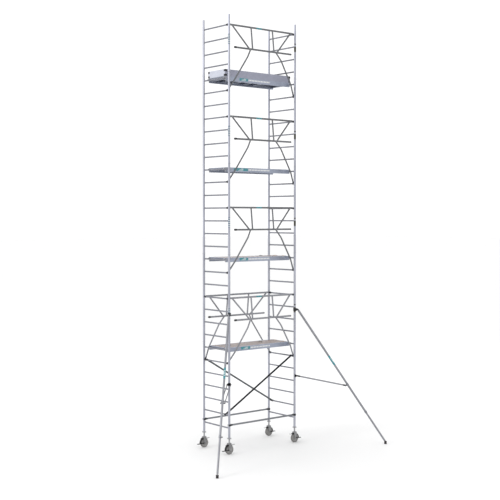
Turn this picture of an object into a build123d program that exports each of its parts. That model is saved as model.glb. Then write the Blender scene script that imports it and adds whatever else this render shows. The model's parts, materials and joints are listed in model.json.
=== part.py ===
from build123d import *
import os
from math import cos, hypot, radians, sin

os.makedirs("parts", exist_ok=True)

# Mobile aluminium tower scaffold, in millimetres, with Z up and the ground at Z = 0.
# X runs along the decks, Y across them. The stabilisers stand out at the front, towards -Y,
# so the tower's own middle is behind the origin, which is the middle of the whole footprint.

# ---------------------------------------------------------------- driving dimensions
LENGTH = 1900.0            # between the stile centres of the two end frames
WIDTH = 900.0              # between the two stiles of one end frame
TOWER_Y = 704.0            # middle of the tower
FRONT_Y = TOWER_Y - WIDTH / 2
REAR_Y = TOWER_Y + WIDTH / 2
LEFT_X = -LENGTH / 2
RIGHT_X = LENGTH / 2

RUNG_PITCH = 280.0
FIRST_RUNG_Z = 568.0
RUNGS_PER_FRAME = 7
TALL_FRAMES = 4            # seven-rung frames stacked at each end
TOP_RUNGS = 4              # rungs of the short frame on top
STILE_BELOW = 210.0        # stile below a frame's first rung
STILE_ABOVE = 70.0         # stile above a frame's last rung
STILE_R = 25.4
RUNG_R = 15.5
WALL = 2.0
GAP = 0.3                  # clearance between solids that meet

SPIGOT_R = STILE_R - WALL - GAP
SPIGOT_WALL = 2.5
SPIGOT_STEP = 0.3          # the spigot is thinner where it sits in its own stile
SPIGOT_IN = 120.0
SPIGOT_OUT = 145.0
LOCK_PIN_R = 4.0
LOCK_PIN_UP = 45.0         # lock pin above a frame joint
CLIP_R = 33.0              # wire bail of a frame lock clip
CLIP_WIRE_R = 1.8

# Decks
DECK_RUNGS = (7, 14, 21, 28)
DECK_HALF = 300.0          # half the width of a deck over its side beams
BEAM_W = 30.0
BEAM_H = 95.0
BEAM_TOP = 40.0            # top of the side beams above the rung's centre
BEAM_END = 920.0
BEAM_WALL = 2.5
CROSS_W = 40.0
CROSS_H = 45.0
CROSS_X = (-895.0, -600.0, -300.0, 0.0, 280.0, 898.0)
BOARD_T = 12.0
BOARD_TOP = 38.0           # walking surface above the rung's centre
BOARD_HALF = 269.5
HATCH_START = 302.0
HATCH_END = 876.0
HATCH_HALF = 264.0
HATCH_EDGE = 4.0           # gap between the fixed boards and the hatch
HINGE_X = 882.0
HINGE_UP = 43.0
KNUCKLE_R = 5.0
HINGE_PIN_R = 2.4
LEAF_T = 3.0
FRAME_LEAF_END = 912.0     # far edges of the hinge leaves on the frame and on the hatch
HATCH_LEAF_END = 846.0
LEAF_LIFT = 0.2            # leaf above the fixed boards
HATCH_KNUCKLE = (120.0, 180.0)     # from the deck's middle
FRAME_KNUCKLES = ((88.0, 119.0), (181.0, 212.0))
GRIP_X = 370.0             # finger slot of the hatch
GRIP_Y = 80.0
GRIP_SIZE = (28.0, 110.0)
HOOK_R = 24.0
HOOK_BEND = 5.7            # thickness of the hook's end plate
TOE_H = 150.0
TOE_T = 18.0
TOE_END = 935.0
BRACKET_T = 4.0
BRACKET_LEG = 48.0
BRACKET_H = 40.0
BRACKET_UP = (6.0, 104.0)  # two brackets at each corner

# Guard frames, measured from the rung that carries the top rail and from the stile row
FRONT_GUARD_RUNGS = (11, 18, 25, 32)
REAR_GUARD_RUNG = 11
GUARD_DROP = 5             # rungs from the top claws down to the bottom claws
RAIL_R = 20.0
STRUT_R = 17.0
LEG_R = 16.0
RAIL_END = 900.0
RAIL_IN = 38.0             # top rail inside the stile row
RAIL_UP = 10.0
MID_END = 800.0
MID_OUT = 15.0             # middle rail outside the stile row
MID_DOWN = 470.0
STRUT_X = 306.0
DIAGONAL_TOP_X = 843.0
DIAGONAL_LOW_X = 393.0
LEG_TOP_X = 360.0          # where a leg leaves the middle rail
KNEE = (480.0, 60.0, 650.0)        # upper bend of a leg: along, outside the row, down
SHIN = (800.0, 23.0, 1145.0)       # lower bend of a leg
LEG_BEND_R = 150.0
CLAW_IN = 50.0             # claws on the rungs, inside the stile row
CLAW_R = 24.0
CLAW_L = 46.0
CLAW_REACH = 42.0          # from the rung's centre back to the end of the tube
MOUTH_HALF = RUNG_R - 4    # claw's open mouth
MOUTH_DOWN = 6.0
NECK_X = RAIL_END + 4
CAP_T = 12.0

# Base braces
HORIZONTAL_UP = 62.0       # above the first rung
BRACE_R = 20.0
STILE_CLAW_R = 34.0
STILE_CLAW_H = 42.0
STILE_CLAW_NECK = 40.0
BRACE_IN = 125.0           # diagonal braces inside the stile row
BRACE_RUNGS = (2, 6)

# Casters
WHEEL_R = 100.0
TREAD_W = 50.0
TYRE_IN = 78.0
TYRE_FILLET = 7.0
RIM_T = 8.0
WEB_HALF = 6.0
HUB_R = 26.0
HUB_IN = 2.0               # rim and hub stand back from the tread's edge
AXLE_R = 7.0
AXLE_HALF = 46.0
FORK_IN = 31.0             # half the space between the fork legs
FORK_T = 5.0
CROWN_R = 47.0
CROWN_LOW = 218.3
CROWN_TOP = 243.0
SPINDLE_R = 18.0
SPINDLE_TOP = 745.0
KINGPIN_R = 10.0
KINGPIN_LOW = 210.0
KINGPIN_HEAD_R = 15.0
FLANGE_R = 23.0
FLANGE_TOP = CROWN_TOP + 6
CROWN_FILLET = 9.0
FORK_FOOT_R = 21.0
FORK_HEAD = (78.0, 14.0)
AXLE_NUT_R = 11.0
AXLE_NUT_T = 8.0
NUT_LOW = 325.0
NUT_TOP = FIRST_RUNG_Z - STILE_BELOW - GAP
NUT_R = 29.0
NUT_WING = 45.0            # reach of the nut's two wings
NUT_WING_W = 16.0
NUT_WING_IN = 6.0          # wings stand back from the nut's two ends
NUT_CHAMFER = 4.0
NUT_TURN = -40.0
BAND_IN = 103.0            # brake band round the wheel
BAND_OUT = 107.5
BAND_START = -9.0
BAND_END = 126.0
BAND_HALF = 30.5
PEDAL_END = 188.0
PEDAL_HALF = 22.0
PEDAL_T = 9.0
PEDAL_DOWN = 14.0          # pedal below the axle
BLOCK_HALF = 18.0
BLOCK_RISE = 22.0          # brake block over the band
BLOCK_ANGLE = 9.0          # half the angle that the block covers
CHEEK_T = 4.0
CHEEK_R = (15.0, 8.0)      # at the axle and at the band
LEVER_END = (-140.0, 100.0)
LEVER_R = 3.0
LEVER_HALF = PEDAL_HALF - 6

# Stabilisers
COUPLER_LOW = 3000.0
COUPLER_TOP = 3066.0
COUPLER_R = 34.0
PIVOT_REACH = 72.0         # leg pivot from the stile's axis
PIVOT_Z = 3033.0
PIVOT_R = 5.0
EAR_IN = 10.0
EAR_OUT = 16.0
EAR_R = 18.0
EAR_ROOT = (4.0, 56.0)     # where an ear meets the coupler's ring
PIVOT_HEAD_R = 9.0
PIVOT_HEAD_T = 7.0
BORE_GAP = 0.2             # running clearance round the leg's pins
FOOT_REACH = 2060.0
ANKLE_Z = 48.0
LEG_TUBE_R = 24.0
LEG_WALL = 2.8
INNER_R = 20.8
INNER_WALL = 2.5
OUTER_END = 2800.0         # along the leg from the pivot
INNER_START = 2250.0
LEG_START = 45.0
COLLAR_R = 28.0
COLLAR_L = 42.0
PLUG_L = 28.0              # plug plate inside the leg's upper end
LUG_T = 6.0
LUG_AT = 18.0              # lugs either side of the leg's middle plane
LUG_R = 12.0
ARM_ALONG = 2035.0         # the arm's bracket, along the leg
ARM_OFFSET = 45.0          # the arm's pin below the leg's axis
ARM_Z = 1520.0             # saddle of the arm on the stile
ARM_SPACING = 38.0
ARM_BAR_R = 11.0
ARM_EYE_R = 14.0
ARM_EYE_HALF = 12.0
SADDLE_H = 60.0
SADDLE_BAR = (34.0, 66.0)  # reach of the bar behind the saddle
FOOT_R = 28.5
FOOT_TOP = 70.0
FOOT_SLOT = 13.0
FOOT_FILLETS = (5.0, 9.0)  # below and above
FOOT_FLOOR = 13.0          # floor of the slot under the ankle
PLATE_HALF = 6.0
SHANK_EYE_R = 11.0
SHANK_L = 40.0
SHANK_AT = 65.0            # shank plate's middle above the ankle

ENDS = ((LEFT_X, "left"), (RIGHT_X, "right"))
TALL_FRAME_H = STILE_BELOW + (RUNGS_PER_FRAME - 1) * RUNG_PITCH + STILE_ABOVE
BASE_Z = FIRST_RUNG_Z - STILE_BELOW


def rung_z(count):
    """Height of a rung, counted from 1 at the bottom."""
    return FIRST_RUNG_Z + (count - 1) * RUNG_PITCH


# ---------------------------------------------------------------- shared shapes
def rod(start, end, radius, mode=Mode.ADD):
    """A solid round bar between two points."""
    run = Vector(*end) - Vector(*start)
    with BuildSketch(Plane(origin=start, z_dir=run)) as profile:
        Circle(radius)
    extrude(profile.sketch, amount=run.length, mode=mode)


def tube(start, end, radius, wall=WALL):
    """A straight round tube between two points."""
    run = Vector(*end) - Vector(*start)
    with BuildSketch(Plane(origin=start, z_dir=run)) as profile:
        Circle(radius)
        Circle(radius - wall, mode=Mode.SUBTRACT)
    extrude(profile.sketch, amount=run.length)


def block(low, high, mode=Mode.ADD):
    """A rectangular block between two corners."""
    low = Vector(*low)
    size = Vector(*high) - low
    with BuildSketch(Plane(low + Vector(size.X / 2, size.Y / 2, 0))) as profile:
        Rectangle(size.X, size.Y)
    extrude(profile.sketch, amount=size.Z, mode=mode)


def box_tube(start, end, wide, high, wall):
    """A level rectangular tube between two points on its axis."""
    run = Vector(*end) - Vector(*start)
    with BuildSketch(Plane(origin=start, x_dir=run.cross(Vector(0, 0, 1)), z_dir=run)) as profile:
        Rectangle(wide, high)
        Rectangle(wide - 2 * wall, high - 2 * wall, mode=Mode.SUBTRACT)
    extrude(profile.sketch, amount=run.length)


def save(builder, label):
    """Names a finished sub-part and writes it."""
    builder.part.label = label
    export_step(builder.part, f"parts/{label}.step")


# ---------------------------------------------------------------- end frames
def end_frame(x, base, rungs):
    """Two stiles with coped rungs, and a spigot in the top of each stile."""
    top = base + STILE_BELOW + (rungs - 1) * RUNG_PITCH + STILE_ABOVE
    for count in range(rungs):
        z = base + STILE_BELOW + count * RUNG_PITCH
        tube((x, FRONT_Y, z), (x, REAR_Y, z), RUNG_R)
    for y in (FRONT_Y, REAR_Y):
        rod((x, y, base), (x, y, top), STILE_R + GAP, mode=Mode.SUBTRACT)
    for y in (FRONT_Y, REAR_Y):
        tube((x, y, base), (x, y, top - GAP), STILE_R)
        tube((x, y, top - SPIGOT_IN), (x, y, top), SPIGOT_R - SPIGOT_STEP, SPIGOT_WALL - SPIGOT_STEP)
        tube((x, y, top), (x, y, top + SPIGOT_OUT), SPIGOT_R, SPIGOT_WALL)
        for z in (base + LOCK_PIN_UP, top + LOCK_PIN_UP):
            rod((x - CLIP_R, y, z), (x + CLIP_R, y, z), LOCK_PIN_R + GAP, mode=Mode.SUBTRACT)


for level in range(TALL_FRAMES):
    for x, end in ENDS:
        with BuildPart() as tall_frame:
            end_frame(x, BASE_Z + level * TALL_FRAME_H, RUNGS_PER_FRAME)
        save(tall_frame, f"{end}_frame_{level + 1}")

with BuildPart() as top_frames:
    for x, end in ENDS:
        end_frame(x, BASE_Z + TALL_FRAMES * TALL_FRAME_H, TOP_RUNGS)
save(top_frames, "top_frames")

# One clip is a pin with a wire bail round half the stile.
with BuildPart() as clip:
    rod((-CLIP_R, 0, 0), (CLIP_R, 0, 0), LOCK_PIN_R)
    with BuildLine():
        CenterArc((0, 0, 0), CLIP_R, 0, 180)
    with BuildSketch(Plane(origin=(CLIP_R, 0, 0), z_dir=(0, 1, 0))):
        Circle(CLIP_WIRE_R)
    sweep()

with BuildPart() as frame_lock_clips:
    for level in range(TALL_FRAMES):
        joint = BASE_Z + (level + 1) * TALL_FRAME_H + LOCK_PIN_UP
        for x, end in ENDS:
            with Locations(Location((x, FRONT_Y, joint), (0, 0, 180)), Location((x, REAR_Y, joint))):
                add(clip.part)
save(frame_lock_clips, "frame_lock_clips")


# ---------------------------------------------------------------- decks
def hinge_barrels(z, spans):
    """Hinge knuckles of the hatch, between the given distances from the middle."""
    for near, far in spans:
        for side in (-1, 1):
            start = (HINGE_X, TOWER_Y + side * near, z + HINGE_UP)
            end = (HINGE_X, TOWER_Y + side * far, z + HINGE_UP)
            tube(start, end, KNUCKLE_R, KNUCKLE_R - HINGE_PIN_R - GAP)


def hinge_leaf(z, reach, near, far):
    """A hinge leaf from the knuckles to a given X, on each side of the middle."""
    for side in (-1, 1):
        y_low, y_high = sorted((TOWER_Y + side * near, TOWER_Y + side * far))
        x_low, x_high = sorted((HINGE_X, reach))
        leaf_low = z + BOARD_TOP + LEAF_LIFT
        block((x_low, y_low, leaf_low), (x_high, y_high, leaf_low + LEAF_T))
        axis = ((HINGE_X, y_low - 1, z + HINGE_UP), (HINGE_X, y_high + 1, z + HINGE_UP))
        rod(*axis, KNUCKLE_R - 0.5, mode=Mode.SUBTRACT)


for number, rung in enumerate(DECK_RUNGS, start=1):
    z = rung_z(rung)
    beam_z = z + BEAM_TOP - BEAM_H / 2
    cross_z = z + BOARD_TOP - BOARD_T - GAP - CROSS_H / 2
    with BuildPart() as platform_frame:
        for side in (-1, 1):
            y = TOWER_Y + side * (DECK_HALF - BEAM_W / 2)
            box_tube((-BEAM_END, y, beam_z), (BEAM_END, y, beam_z), BEAM_W, BEAM_H, BEAM_WALL)
        for x in CROSS_X:
            inside = DECK_HALF - BEAM_W - GAP
            start = (x, TOWER_Y - inside, cross_z)
            end = (x, TOWER_Y + inside, cross_z)
            box_tube(start, end, CROSS_W, CROSS_H, BEAM_WALL)
        for near, far in FRAME_KNUCKLES:
            hinge_leaf(z, FRAME_LEAF_END, near, far)
        hinge_barrels(z, FRAME_KNUCKLES)
        for side in (-1, 1):
            start = (HINGE_X, TOWER_Y + side * FRAME_KNUCKLES[0][0], z + HINGE_UP)
            end = (HINGE_X, TOWER_Y + side * FRAME_KNUCKLES[1][1], z + HINGE_UP)
            rod(start, end, HINGE_PIN_R)
    save(platform_frame, f"platform_frame_{number}")

    with BuildPart() as hatch:
        low = (HATCH_START, TOWER_Y - HATCH_HALF, z + BOARD_TOP - BOARD_T)
        block(low, (HATCH_END, TOWER_Y + HATCH_HALF, z + BOARD_TOP))
        grip_low = (GRIP_X - GRIP_SIZE[0] / 2, TOWER_Y + GRIP_Y - GRIP_SIZE[1] / 2, z)
        grip_high = (GRIP_X + GRIP_SIZE[0] / 2, TOWER_Y + GRIP_Y + GRIP_SIZE[1] / 2, z + BEAM_H)
        block(grip_low, grip_high, mode=Mode.SUBTRACT)
        hinge_leaf(z - LEAF_LIFT, HATCH_LEAF_END, *HATCH_KNUCKLE)
        hinge_barrels(z, (HATCH_KNUCKLE,))
    save(hatch, f"hatch_{number}")

with BuildPart() as deck_boards:
    for rung in DECK_RUNGS:
        low_z = rung_z(rung) + BOARD_TOP - BOARD_T
        for x_low, x_high in ((-BEAM_END, HATCH_START - HATCH_EDGE), (HATCH_END + HATCH_EDGE, BEAM_END)):
            low = (x_low, TOWER_Y - BOARD_HALF, low_z)
            block(low, (x_high, TOWER_Y + BOARD_HALF, low_z + BOARD_T))
save(deck_boards, "deck_boards")

with BuildPart() as platform_hooks:
    for rung in DECK_RUNGS:
        for end in (-1, 1):
            for side in (-1, 1):
                y = TOWER_Y + side * (DECK_HALF - BEAM_W / 2)
                centre = (end * LENGTH / 2, y, rung_z(rung))
                plate_x = LENGTH / 2 - BEAM_END - GAP - HOOK_BEND / 2
                with BuildSketch(Plane(origin=centre, x_dir=(-end, 0, 0), z_dir=(0, end, 0))):
                    Circle(HOOK_R)
                    with Locations((HOOK_R / 2, HOOK_R / 2)):
                        Rectangle(HOOK_R, HOOK_R)
                    with Locations((0, -HOOK_R)):
                        Rectangle(2 * HOOK_R + 1, 2 * HOOK_R, mode=Mode.SUBTRACT)
                    with Locations((plate_x, BEAM_TOP - BEAM_H / 2)):
                        Rectangle(HOOK_BEND, BEAM_H - 10)
                    Circle(RUNG_R + GAP, mode=Mode.SUBTRACT)
                extrude(amount=BEAM_W / 2, both=True)
save(platform_hooks, "platform_hooks")

TOE_LOW = rung_z(DECK_RUNGS[-1]) + BEAM_TOP + GAP
with BuildPart() as toe_boards:
    for side in (-1, 1):
        y = TOWER_Y + side * (DECK_HALF - TOE_T / 2 - 1)
        low = (-TOE_END, y - TOE_T / 2, TOE_LOW)
        block(low, (TOE_END, y + TOE_T / 2, TOE_LOW + TOE_H))
        x = side * (TOE_END - TOE_T / 2)
        inside = DECK_HALF - TOE_T - 1 - GAP
        low = (x - TOE_T / 2, TOWER_Y - inside, TOE_LOW)
        block(low, (x + TOE_T / 2, TOWER_Y + inside, TOE_LOW + TOE_H))
save(toe_boards, "toe_boards")

with BuildPart() as toe_board_brackets:
    for end in (-1, 1):
        for side in (-1, 1):
            corner_x = TOE_END + GAP
            corner_y = DECK_HALF - 1 + GAP
            for up in BRACKET_UP:
                origin = (end * corner_x, TOWER_Y + side * corner_y, TOE_LOW + up)
                with BuildSketch(Plane(origin)):
                    with Locations((-end * (BRACKET_LEG - BRACKET_T) / 2, side * BRACKET_T / 2)):
                        Rectangle(BRACKET_LEG + BRACKET_T, BRACKET_T)
                    with Locations((end * BRACKET_T / 2, -side * (BRACKET_LEG - BRACKET_T) / 2)):
                        Rectangle(BRACKET_T, BRACKET_LEG + BRACKET_T)
                extrude(amount=BRACKET_H)
save(toe_board_brackets, "toe_board_brackets")


# ---------------------------------------------------------------- guard frames
def guard_points(row_y, outward, rung):
    """Named points of a guard frame: a function from (x, inside, up) to a point."""
    return lambda x, inside, up: (x, row_y - outward * inside, rung_z(rung) + up)


def guard_leg(at, side):
    """The points that a leg bends through, from the middle rail to its claw."""
    return [
        at(side * LEG_TOP_X, -MID_OUT, -MID_DOWN),
        at(side * KNEE[0], -KNEE[1], -KNEE[2]),
        at(side * SHIN[0], -SHIN[1], -SHIN[2]),
        at(side * LENGTH / 2, CLAW_IN, -GUARD_DROP * RUNG_PITCH),
    ]


def guard_frame(label, row_y, outward, rung):
    """Top rail, middle rail, two struts, two diagonals and two bent legs, coped where they meet."""
    at = guard_points(row_y, outward, rung)
    top = [at(x, RAIL_IN, RAIL_UP) for x in (-RAIL_END, RAIL_END)]
    middle = [at(x, -MID_OUT, -MID_DOWN) for x in (-MID_END, MID_END)]
    with BuildPart() as frame:
        for side in (-1, 1):
            tube(at(side * STRUT_X, RAIL_IN, RAIL_UP), at(side * STRUT_X, -MID_OUT, -MID_DOWN), STRUT_R)
            high = at(side * DIAGONAL_TOP_X, RAIL_IN, RAIL_UP)
            tube(high, at(side * DIAGONAL_LOW_X, -MID_OUT, -MID_DOWN), STRUT_R)
            bends = guard_leg(at, side)
            last = Vector(*bends[3]) - Vector(*bends[2])
            stop = Vector(*bends[3]) - last.normalized() * CLAW_REACH
            with BuildLine() as leg_line:
                FilletPolyline(*bends[:3], stop, radius=LEG_BEND_R)
            with BuildSketch(Plane(origin=leg_line.line @ 0, z_dir=leg_line.line % 0)):
                Circle(LEG_R)
                Circle(LEG_R - WALL, mode=Mode.SUBTRACT)
            sweep()
        rod(*top, RAIL_R + GAP, mode=Mode.SUBTRACT)
        rod(*middle, RAIL_R + GAP, mode=Mode.SUBTRACT)
        tube(*top, RAIL_R)
        tube(*middle, RAIL_R)
    save(frame, label)


for number, rung in enumerate(FRONT_GUARD_RUNGS, start=1):
    guard_frame(f"front_guard_{number}", FRONT_Y, -1, rung)
guard_frame("rear_guard_1", REAR_Y, 1, REAR_GUARD_RUNG)

GUARDS = [(FRONT_Y, -1, rung) for rung in FRONT_GUARD_RUNGS] + [(REAR_Y, 1, REAR_GUARD_RUNG)]

# ---------------------------------------------------------------- base braces
BRACE_ROWS = ((FRONT_Y, 1, BRACE_RUNGS), (REAR_Y, -1, BRACE_RUNGS[::-1]))
HORIZONTAL_Z = FIRST_RUNG_Z + HORIZONTAL_UP
HORIZONTAL_END = LENGTH / 2 - STILE_CLAW_R - STILE_CLAW_NECK / 2


def diagonal_ends(row_y, inward, rungs):
    """Rung centres that a diagonal brace is clamped to, left then right."""
    y = row_y + inward * BRACE_IN
    return Vector(LEFT_X, y, rung_z(rungs[0])), Vector(RIGHT_X, y, rung_z(rungs[1]))


with BuildPart() as horizontal_braces:
    for y, inward, rungs in BRACE_ROWS:
        tube((-HORIZONTAL_END, y, HORIZONTAL_Z), (HORIZONTAL_END, y, HORIZONTAL_Z), BRACE_R)
save(horizontal_braces, "horizontal_braces")

with BuildPart() as diagonal_braces:
    for row in BRACE_ROWS:
        low, high = diagonal_ends(*row)
        along = (high - low).normalized()
        tube(low + along * CLAW_REACH, high - along * CLAW_REACH, BRACE_R)
save(diagonal_braces, "diagonal_braces")


# ---------------------------------------------------------------- claws and end caps
def rung_claw(centre, tube_end, tube_r):
    """A claw over a rung, open below, with a neck that meets the end of a tube."""
    centre = Vector(*centre)
    tube_end = Vector(*tube_end)
    half = Vector(0, CLAW_L / 2, 0)
    rod(centre - half, centre + half, CLAW_R)
    back = (tube_end - centre).normalized() * GAP
    rod(centre, tube_end - back, tube_r)
    rod(centre - half * 2, centre + half * 2, RUNG_R + GAP, mode=Mode.SUBTRACT)
    mouth_low = centre - Vector(MOUTH_HALF, CLAW_L, CLAW_R * 2)
    block(mouth_low, centre + Vector(MOUTH_HALF, CLAW_L, -MOUTH_DOWN), Mode.SUBTRACT)


def saved_claw(*args):
    """A claw made by itself, so that its cuts touch nothing else."""
    with BuildPart(mode=Mode.PRIVATE) as claw:
        rung_claw(*args)
    return claw.part


loose = []
for row_y, outward, rung in GUARDS:
    at = guard_points(row_y, outward, rung)
    for side in (-1, 1):
        centre = at(side * LENGTH / 2, CLAW_IN, 0)
        loose.append(saved_claw(centre, at(side * NECK_X, CLAW_IN - 5, RAIL_UP - 3), RAIL_R))
        bends = guard_leg(at, side)
        last = Vector(*bends[3]) - Vector(*bends[2])
        stop = Vector(*bends[3]) - last.normalized() * CLAW_REACH
        loose.append(saved_claw(bends[3], stop, LEG_R))
for row in BRACE_ROWS:
    low, high = diagonal_ends(*row)
    along = (high - low).normalized() * CLAW_REACH
    loose.append(saved_claw(low, low + along, BRACE_R))
    loose.append(saved_claw(high, high - along, BRACE_R))

with BuildPart() as claws_and_caps:
    for claw in loose:
        add(claw)
    for row_y, outward, rung in GUARDS:
        at = guard_points(row_y, outward, rung)
        for side in (-1, 1):
            face = at(side * (MID_END + GAP), -MID_OUT, -MID_DOWN)
            rod(face, at(side * (MID_END + CAP_T), -MID_OUT, -MID_DOWN), RAIL_R + 1)
            rod(face, at(side * (MID_END - 3 * CAP_T), -MID_OUT, -MID_DOWN), RAIL_R - WALL - GAP)
    for y, inward, rungs in BRACE_ROWS:
        for end in (-1, 1):
            low_z = HORIZONTAL_Z - STILE_CLAW_H / 2
            with BuildSketch(Plane(origin=(end * LENGTH / 2, y, low_z), x_dir=(end, 0, 0))):
                Circle(STILE_CLAW_R)
                with Locations((-STILE_CLAW_R, 0)):
                    Rectangle(STILE_CLAW_NECK - 2 * GAP, 2 * BRACE_R)
                Circle(STILE_R + GAP, mode=Mode.SUBTRACT)
                with Locations((STILE_R, 0)):
                    Rectangle(STILE_R, 1.5 * STILE_R, mode=Mode.SUBTRACT)
            extrude(amount=STILE_CLAW_H)
save(claws_and_caps, "claws_and_caps")


# ---------------------------------------------------------------- casters
def arc_band(inner, outer, start, end):
    """A sketch face between two radii and two angles."""
    with BuildLine() as outline:
        inside = CenterArc((0, 0), inner, start, end - start)
        outside = CenterArc((0, 0), outer, start, end - start)
        Line(inside @ 0, outside @ 0)
        Line(inside @ 1, outside @ 1)
    make_face(outline.edges())


def caster(corner, x, y, out, block_at):
    """Adjustable leg, swivel fork, wheel and brake under one stile."""
    with BuildPart() as nut:
        with BuildSketch(Plane((x, y, NUT_LOW))):
            Circle(NUT_R)
        extrude(amount=NUT_TOP - NUT_LOW)
        chamfer(nut.faces().sort_by(Axis.Z)[0].edges(), NUT_CHAMFER)
        with BuildSketch(Plane((x, y, NUT_LOW + NUT_WING_IN))):
            with Locations(Location((0, 0, 0), (0, 0, NUT_TURN))):
                SlotOverall(2 * NUT_WING, NUT_WING_W)
        extrude(amount=NUT_TOP - NUT_LOW - 2 * NUT_WING_IN)
        rod((x, y, NUT_LOW - 1), (x, y, NUT_TOP + 1), SPINDLE_R + GAP, mode=Mode.SUBTRACT)
    save(nut, f"caster_{corner}_nut")

    with BuildPart() as spindle:
        rod((x, y, CROWN_TOP + GAP), (x, y, SPINDLE_TOP), SPINDLE_R)
        rod((x, y, CROWN_TOP + GAP), (x, y, FLANGE_TOP), FLANGE_R)
        rod((x, y, KINGPIN_LOW), (x, y, CROWN_TOP + 1), KINGPIN_R)
        rod((x, y, KINGPIN_LOW), (x, y, CROWN_LOW - GAP), KINGPIN_HEAD_R)
    save(spindle, f"caster_{corner}_spindle")

    with BuildPart() as fork:
        with BuildSketch(Plane((x, y, CROWN_LOW))):
            Circle(CROWN_R)
        extrude(amount=CROWN_TOP - CROWN_LOW)
        fillet(fork.faces().sort_by(Axis.Z)[-1].edges(), CROWN_FILLET)
        for side in (-1, 1):
            face = Plane(origin=(x, y + side * FORK_IN, WHEEL_R), x_dir=(-side, 0, 0), z_dir=(0, side, 0))
            with BuildSketch(face):
                Circle(FORK_FOOT_R)
                with Locations((0, CROWN_LOW + 8 - WHEEL_R)):
                    Rectangle(*FORK_HEAD)
                make_hull()
            extrude(amount=FORK_T)
        rod((x, y, KINGPIN_LOW), (x, y, CROWN_TOP + 1), KINGPIN_R + GAP, mode=Mode.SUBTRACT)
        rod((x, y - AXLE_HALF, WHEEL_R), (x, y + AXLE_HALF, WHEEL_R), AXLE_R + GAP, mode=Mode.SUBTRACT)
        rod((x, y - AXLE_HALF, WHEEL_R), (x, y + AXLE_HALF, WHEEL_R), AXLE_R)
        for side in (-1, 1):
            head = y + side * (FORK_IN + FORK_T + GAP)
            with BuildSketch(Plane(origin=(x, head, WHEEL_R), z_dir=(0, side, 0))):
                RegularPolygon(AXLE_NUT_R, 6)
            extrude(amount=AXLE_NUT_T)
    save(fork, f"caster_{corner}_fork")

    with BuildPart() as wheel:
        with BuildSketch(Plane(origin=(x, y, WHEEL_R), x_dir=(1, 0, 0), z_dir=(0, -1, 0))):
            Circle(WHEEL_R)
            Circle(TYRE_IN, mode=Mode.SUBTRACT)
        extrude(amount=TREAD_W / 2, both=True)
        fillet(wheel.edges().filter_by(GeomType.CIRCLE).sort_by(SortBy.RADIUS)[-2:], TYRE_FILLET)
        with BuildSketch(Plane(origin=(x, y, WHEEL_R), x_dir=(1, 0, 0), z_dir=(0, -1, 0))):
            Circle(TYRE_IN - GAP)
        extrude(amount=WEB_HALF, both=True)
        with BuildSketch(Plane(origin=(x, y, WHEEL_R), x_dir=(1, 0, 0), z_dir=(0, -1, 0))):
            Circle(TYRE_IN - GAP)
            Circle(TYRE_IN - RIM_T, mode=Mode.SUBTRACT)
            Circle(HUB_R)
        extrude(amount=TREAD_W / 2 - HUB_IN, both=True)
        rod((x, y - TREAD_W, WHEEL_R), (x, y + TREAD_W, WHEEL_R), AXLE_R + GAP, mode=Mode.SUBTRACT)
    save(wheel, f"caster_{corner}_wheel")

    side_on = Plane(origin=(x, y, WHEEL_R), x_dir=(out, 0, 0), z_dir=(0, -out, 0))
    with BuildPart() as brake:
        with BuildSketch(side_on):
            arc_band(BAND_IN, BAND_OUT, BAND_START, BAND_END)
        extrude(amount=BAND_HALF, both=True)
        for side in (-1, 1):
            with BuildSketch(side_on.offset(side * (BAND_HALF - CHEEK_T))):
                Circle(CHEEK_R[0])
                with Locations((BAND_OUT - 10, -CHEEK_R[1])):
                    Circle(CHEEK_R[1])
                make_hull()
                Circle(AXLE_R + GAP, mode=Mode.SUBTRACT)
            extrude(amount=side * CHEEK_T)
        with BuildSketch(side_on):
            with Locations(((BAND_IN + PEDAL_END) / 2, -PEDAL_DOWN)):
                Rectangle(PEDAL_END - BAND_IN - 2, PEDAL_T)
        extrude(amount=PEDAL_HALF, both=True)
        with BuildSketch(side_on):
            arc_band(BAND_IN + 2, BAND_OUT + BLOCK_RISE, block_at - BLOCK_ANGLE, block_at + BLOCK_ANGLE)
        extrude(amount=BLOCK_HALF, both=True)
        turn = radians(BAND_END - 2)
        root = (BAND_OUT - LEVER_R) * cos(turn), (BAND_OUT - LEVER_R) * sin(turn)
        with BuildSketch(side_on):
            with Locations(root):
                Circle(LEVER_R)
            with Locations(LEVER_END):
                Circle(LEVER_R)
            make_hull()
        extrude(amount=LEVER_HALF, both=True)
    save(brake, f"caster_{corner}_brake")


caster("front_left", LEFT_X, FRONT_Y, -1, 52)
caster("front_right", RIGHT_X, FRONT_Y, 1, 122)
caster("rear_left", LEFT_X, REAR_Y, -1, 52)
caster("rear_right", RIGHT_X, REAR_Y, 1, 122)


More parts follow.
